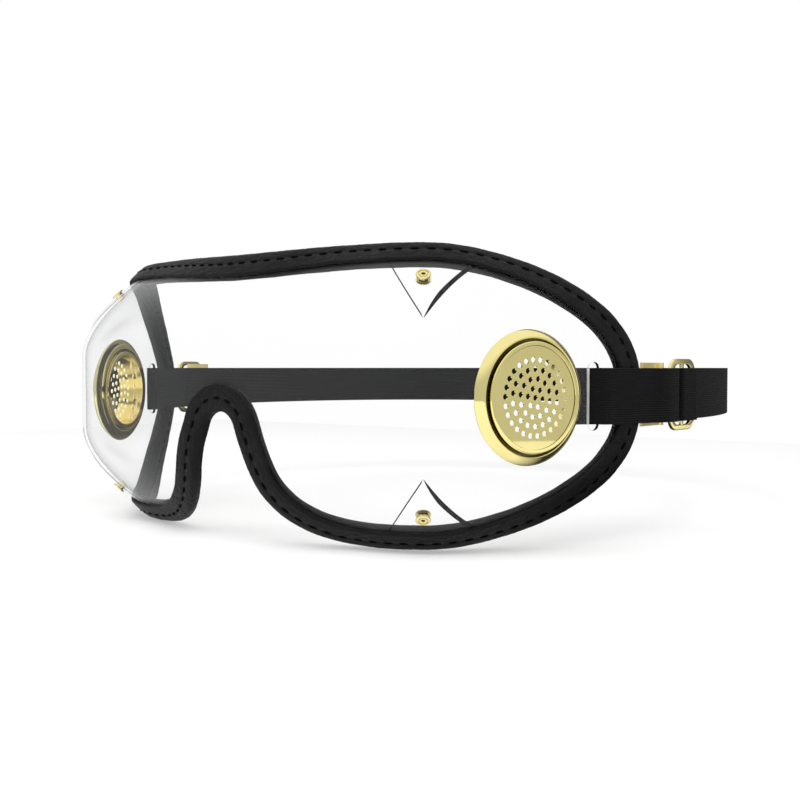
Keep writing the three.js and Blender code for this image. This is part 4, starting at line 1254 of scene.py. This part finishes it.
def makeSlides():
    thick, slotHeight = slideSize["thickness"], slideSize["slotHeight"]
    rim = roundedRectangle(slideLength, slideSize["height"], slideSize["corner"], 12)
    inside, barHeight = slideLength - 2 * slideSize["frameBar"], slotHeight + slideSize["barPast"]
    opening = roundedRectangle(inside, slotHeight, slideSize["slotCorner"], 10)
    bar = roundedRectangle(slideSize["centreBar"], barHeight, slideSize["barCorner"], 4)
    for name, side in sides.items():
        plate = flatPlate(f"strapSlide.{name}", [rim, opening], thick)
        joinMeshes(plate, flatPlate("slideBar", [bar], thick - slideSize["barThinner"]))
        setInPlace(plate, (facing(mirrored(outOfSlide, side)), onSlide(0, 0, side)))
        addPiece(plate, f"slide_{name}", "brass", f"strap_slide_{name}")


makeSlides()

crimpSize = dict(length=12.8, short=1.2, height=18.8, sheet=0.6, gap=0.3, roll=1.1, rollEnd=0.8, turns=1.75,
                 edge=0.1, steps=33)


def makeCrimp(name, side):  # a brass clip on the tail's outer face, its rear end curled into a roll
    tail = evenly(innerRun(), strapSize["runSpacing"])[0]
    tip, run = tail[-1], unit(tail[-1] - tail[-4])
    out = np.cross(run, upward)
    inside, roll, short = strapHalf + crimpSize["gap"], crimpSize["roll"], crimpSize["short"]
    back = np.linspace(short + crimpSize["length"], short + roll, 8)
    turns = np.linspace(0, crimpSize["turns"] * pi, crimpSize["steps"] + 1)[1:]
    faces = []
    for layer in (0.0, crimpSize["sheet"]):  # the under face, then the upper, both round the curl
        flat = [tip - run * b + out * (inside + layer) for b in back]
        radius = np.linspace(roll, crimpSize["rollEnd"] * roll, crimpSize["steps"]) - layer
        curl = [tip - run * (back[-1] - r * sin(t)) + out * (inside + roll - r * cos(t))
                for t, r in zip(turns, radius)]
        faces.append(np.array(flat + curl))
    ring = mirrored(np.concatenate([faces[0], faces[1][::-1]]), side)
    count, half = len(ring), crimpSize["height"] / 2
    points = np.concatenate([ring + z * upward for z in (-half, half)])
    quads = bandFaces(count)
    for base in (0, count):
        last = base + count - 1
        quads += [(base + i, base + i + 1, last - 1 - i, last - i) for i in range(count // 2 - 1)]
    crimp = faceOutwards(newObject(f"tailCrimp.{name}", points, quads, [brass["rough"]]))
    bevel = crimp.modifiers.new("edges", "BEVEL")
    bevel.width = crimpSize["edge"] * mm
    bevel.segments = 2
    bevel.limit_method = "ANGLE"
    crimp = bakeObject(crimp)
    smoothShade(crimp, "plate")
    addPiece(crimp, "goggles", "brass", f"tail_crimp_{name}")


for sideName, side in sides.items():
    makeCrimp(sideName, side)
print("slides and crimps placed")


# floor, white surround and soft light

studio = dict(
    floorHalf=472.0, floorDrop=0.4, floorGlow=0.3, floorShine=0.2, floorColour=(0.68, 0.68, 0.68),
    floorDark=(0.05, 0.05, 0.05), floorRoughness=0.9, darkRear=(0.03, 0.06), darkBeside=(0.15, 0.25),
    level=0.72, zenith=0.45, above=(0.25, 0.7), rearDark=0.5, behind=(0.68, 0.86))
lamps = dict(  # place, target, size, power
    softTop=((0.15, -0.25, 0.75), (0, 0.08, 0), (0.9, 0.6), 4.0),
    softSide=((-0.7, -0.5, 0.35), (0, 0.05, 0), (0.5, 0.5), 2.0))


def axes(tree, space):
    place = wire(tree, "ShaderNodeTexCoord", None, space)
    return addNode(tree, "ShaderNodeSeparateXYZ", {"Vector": place}).outputs


def makeFloor():
    level, half = cadBox[0][2] / mm - studio["floorDrop"], studio["floorHalf"]
    corners = [(-half, -half, level), (half, -half, level), (half, half, level), (-half, half, level)]
    material, tree, shader = newMaterial("paleFloor")
    path = addNode(tree, "ShaderNodeLightPath").outputs
    glossy, eye = path["Is Glossy Ray"], path["Is Camera Ray"]
    place = axes(tree, "Object")
    rear = mapRange(tree, place["Y"], studio["darkRear"])
    beside = mapRange(tree, place["X"], studio["darkBeside"])
    dark = calc(tree, "MULTIPLY", rear, calc(tree, "SUBTRACT", 1.0, beside))
    shade = calc(tree, "MULTIPLY", dark, glossy)
    bright = calc(tree, "MULTIPLY", calc(tree, "SUBTRACT", glossy, shade),
                  studio["floorGlow"] + studio["floorShine"])
    feed(tree, shader, {
        "Roughness": studio["floorRoughness"], "Specular IOR Level": 0.0,
        "Base Color": mixColour(tree, shade, studio["floorColour"], studio["floorDark"]),
        "Emission Color": (1, 1, 1, 1),
        "Emission Strength": calc(tree, "MULTIPLY_ADD", eye, studio["floorGlow"], bright)})
    newObject("floor", corners, [(0, 1, 2, 3)], [material])


def makeWorld():  # white to the eye; in the metal it is brighter overhead and darker behind the goggles
    world = bpy.data.worlds.new("surround")
    world.use_nodes = True
    bpy.context.scene.world = world
    tree = world.node_tree
    path = addNode(tree, "ShaderNodeLightPath").outputs
    place = axes(tree, "Generated")
    above, behind = (mapRange(tree, place[axis], studio[k], interpolation_type="SMOOTHSTEP")
                     for axis, k in (("Z", "above"), ("Y", "behind")))
    shade = calc(tree, "MULTIPLY", behind, calc(tree, "SUBTRACT", 1.0, above))
    shade = calc(tree, "MULTIPLY", shade, studio["rearDark"])
    overhead = calc(tree, "MULTIPLY_ADD", above, studio["zenith"], studio["level"])
    glossy = calc(tree, "SUBTRACT", overhead, shade)
    lit = wire(tree, "ShaderNodeMix", {"Factor": path["Is Glossy Ray"], 2: studio["level"], 3: glossy})
    seen = wire(tree, "ShaderNodeMix", {"Factor": path["Is Camera Ray"], 2: lit, 3: 1.0})
    feed(tree, tree.nodes["Background"], {"Color": (1, 1, 1, 1), "Strength": seen})


def addLamp(name, place, target, size, power):
    data = bpy.data.lights.new(name, "AREA")
    data.shape = "RECTANGLE"
    data.size, data.size_y = size
    data.energy = power
    lamp = linkObject(name, data)
    lamp.location = place
    lamp.rotation_euler = (Vector(target) - Vector(place)).to_track_quat("-Z", "Y").to_euler()
    lamp.visible_camera = False
    lamp.visible_glossy = False


makeFloor()
makeWorld()
for name, lamp in lamps.items():
    addLamp(name, *lamp)
bpy.context.scene.view_settings.view_transform = "Standard"

print("scene made")
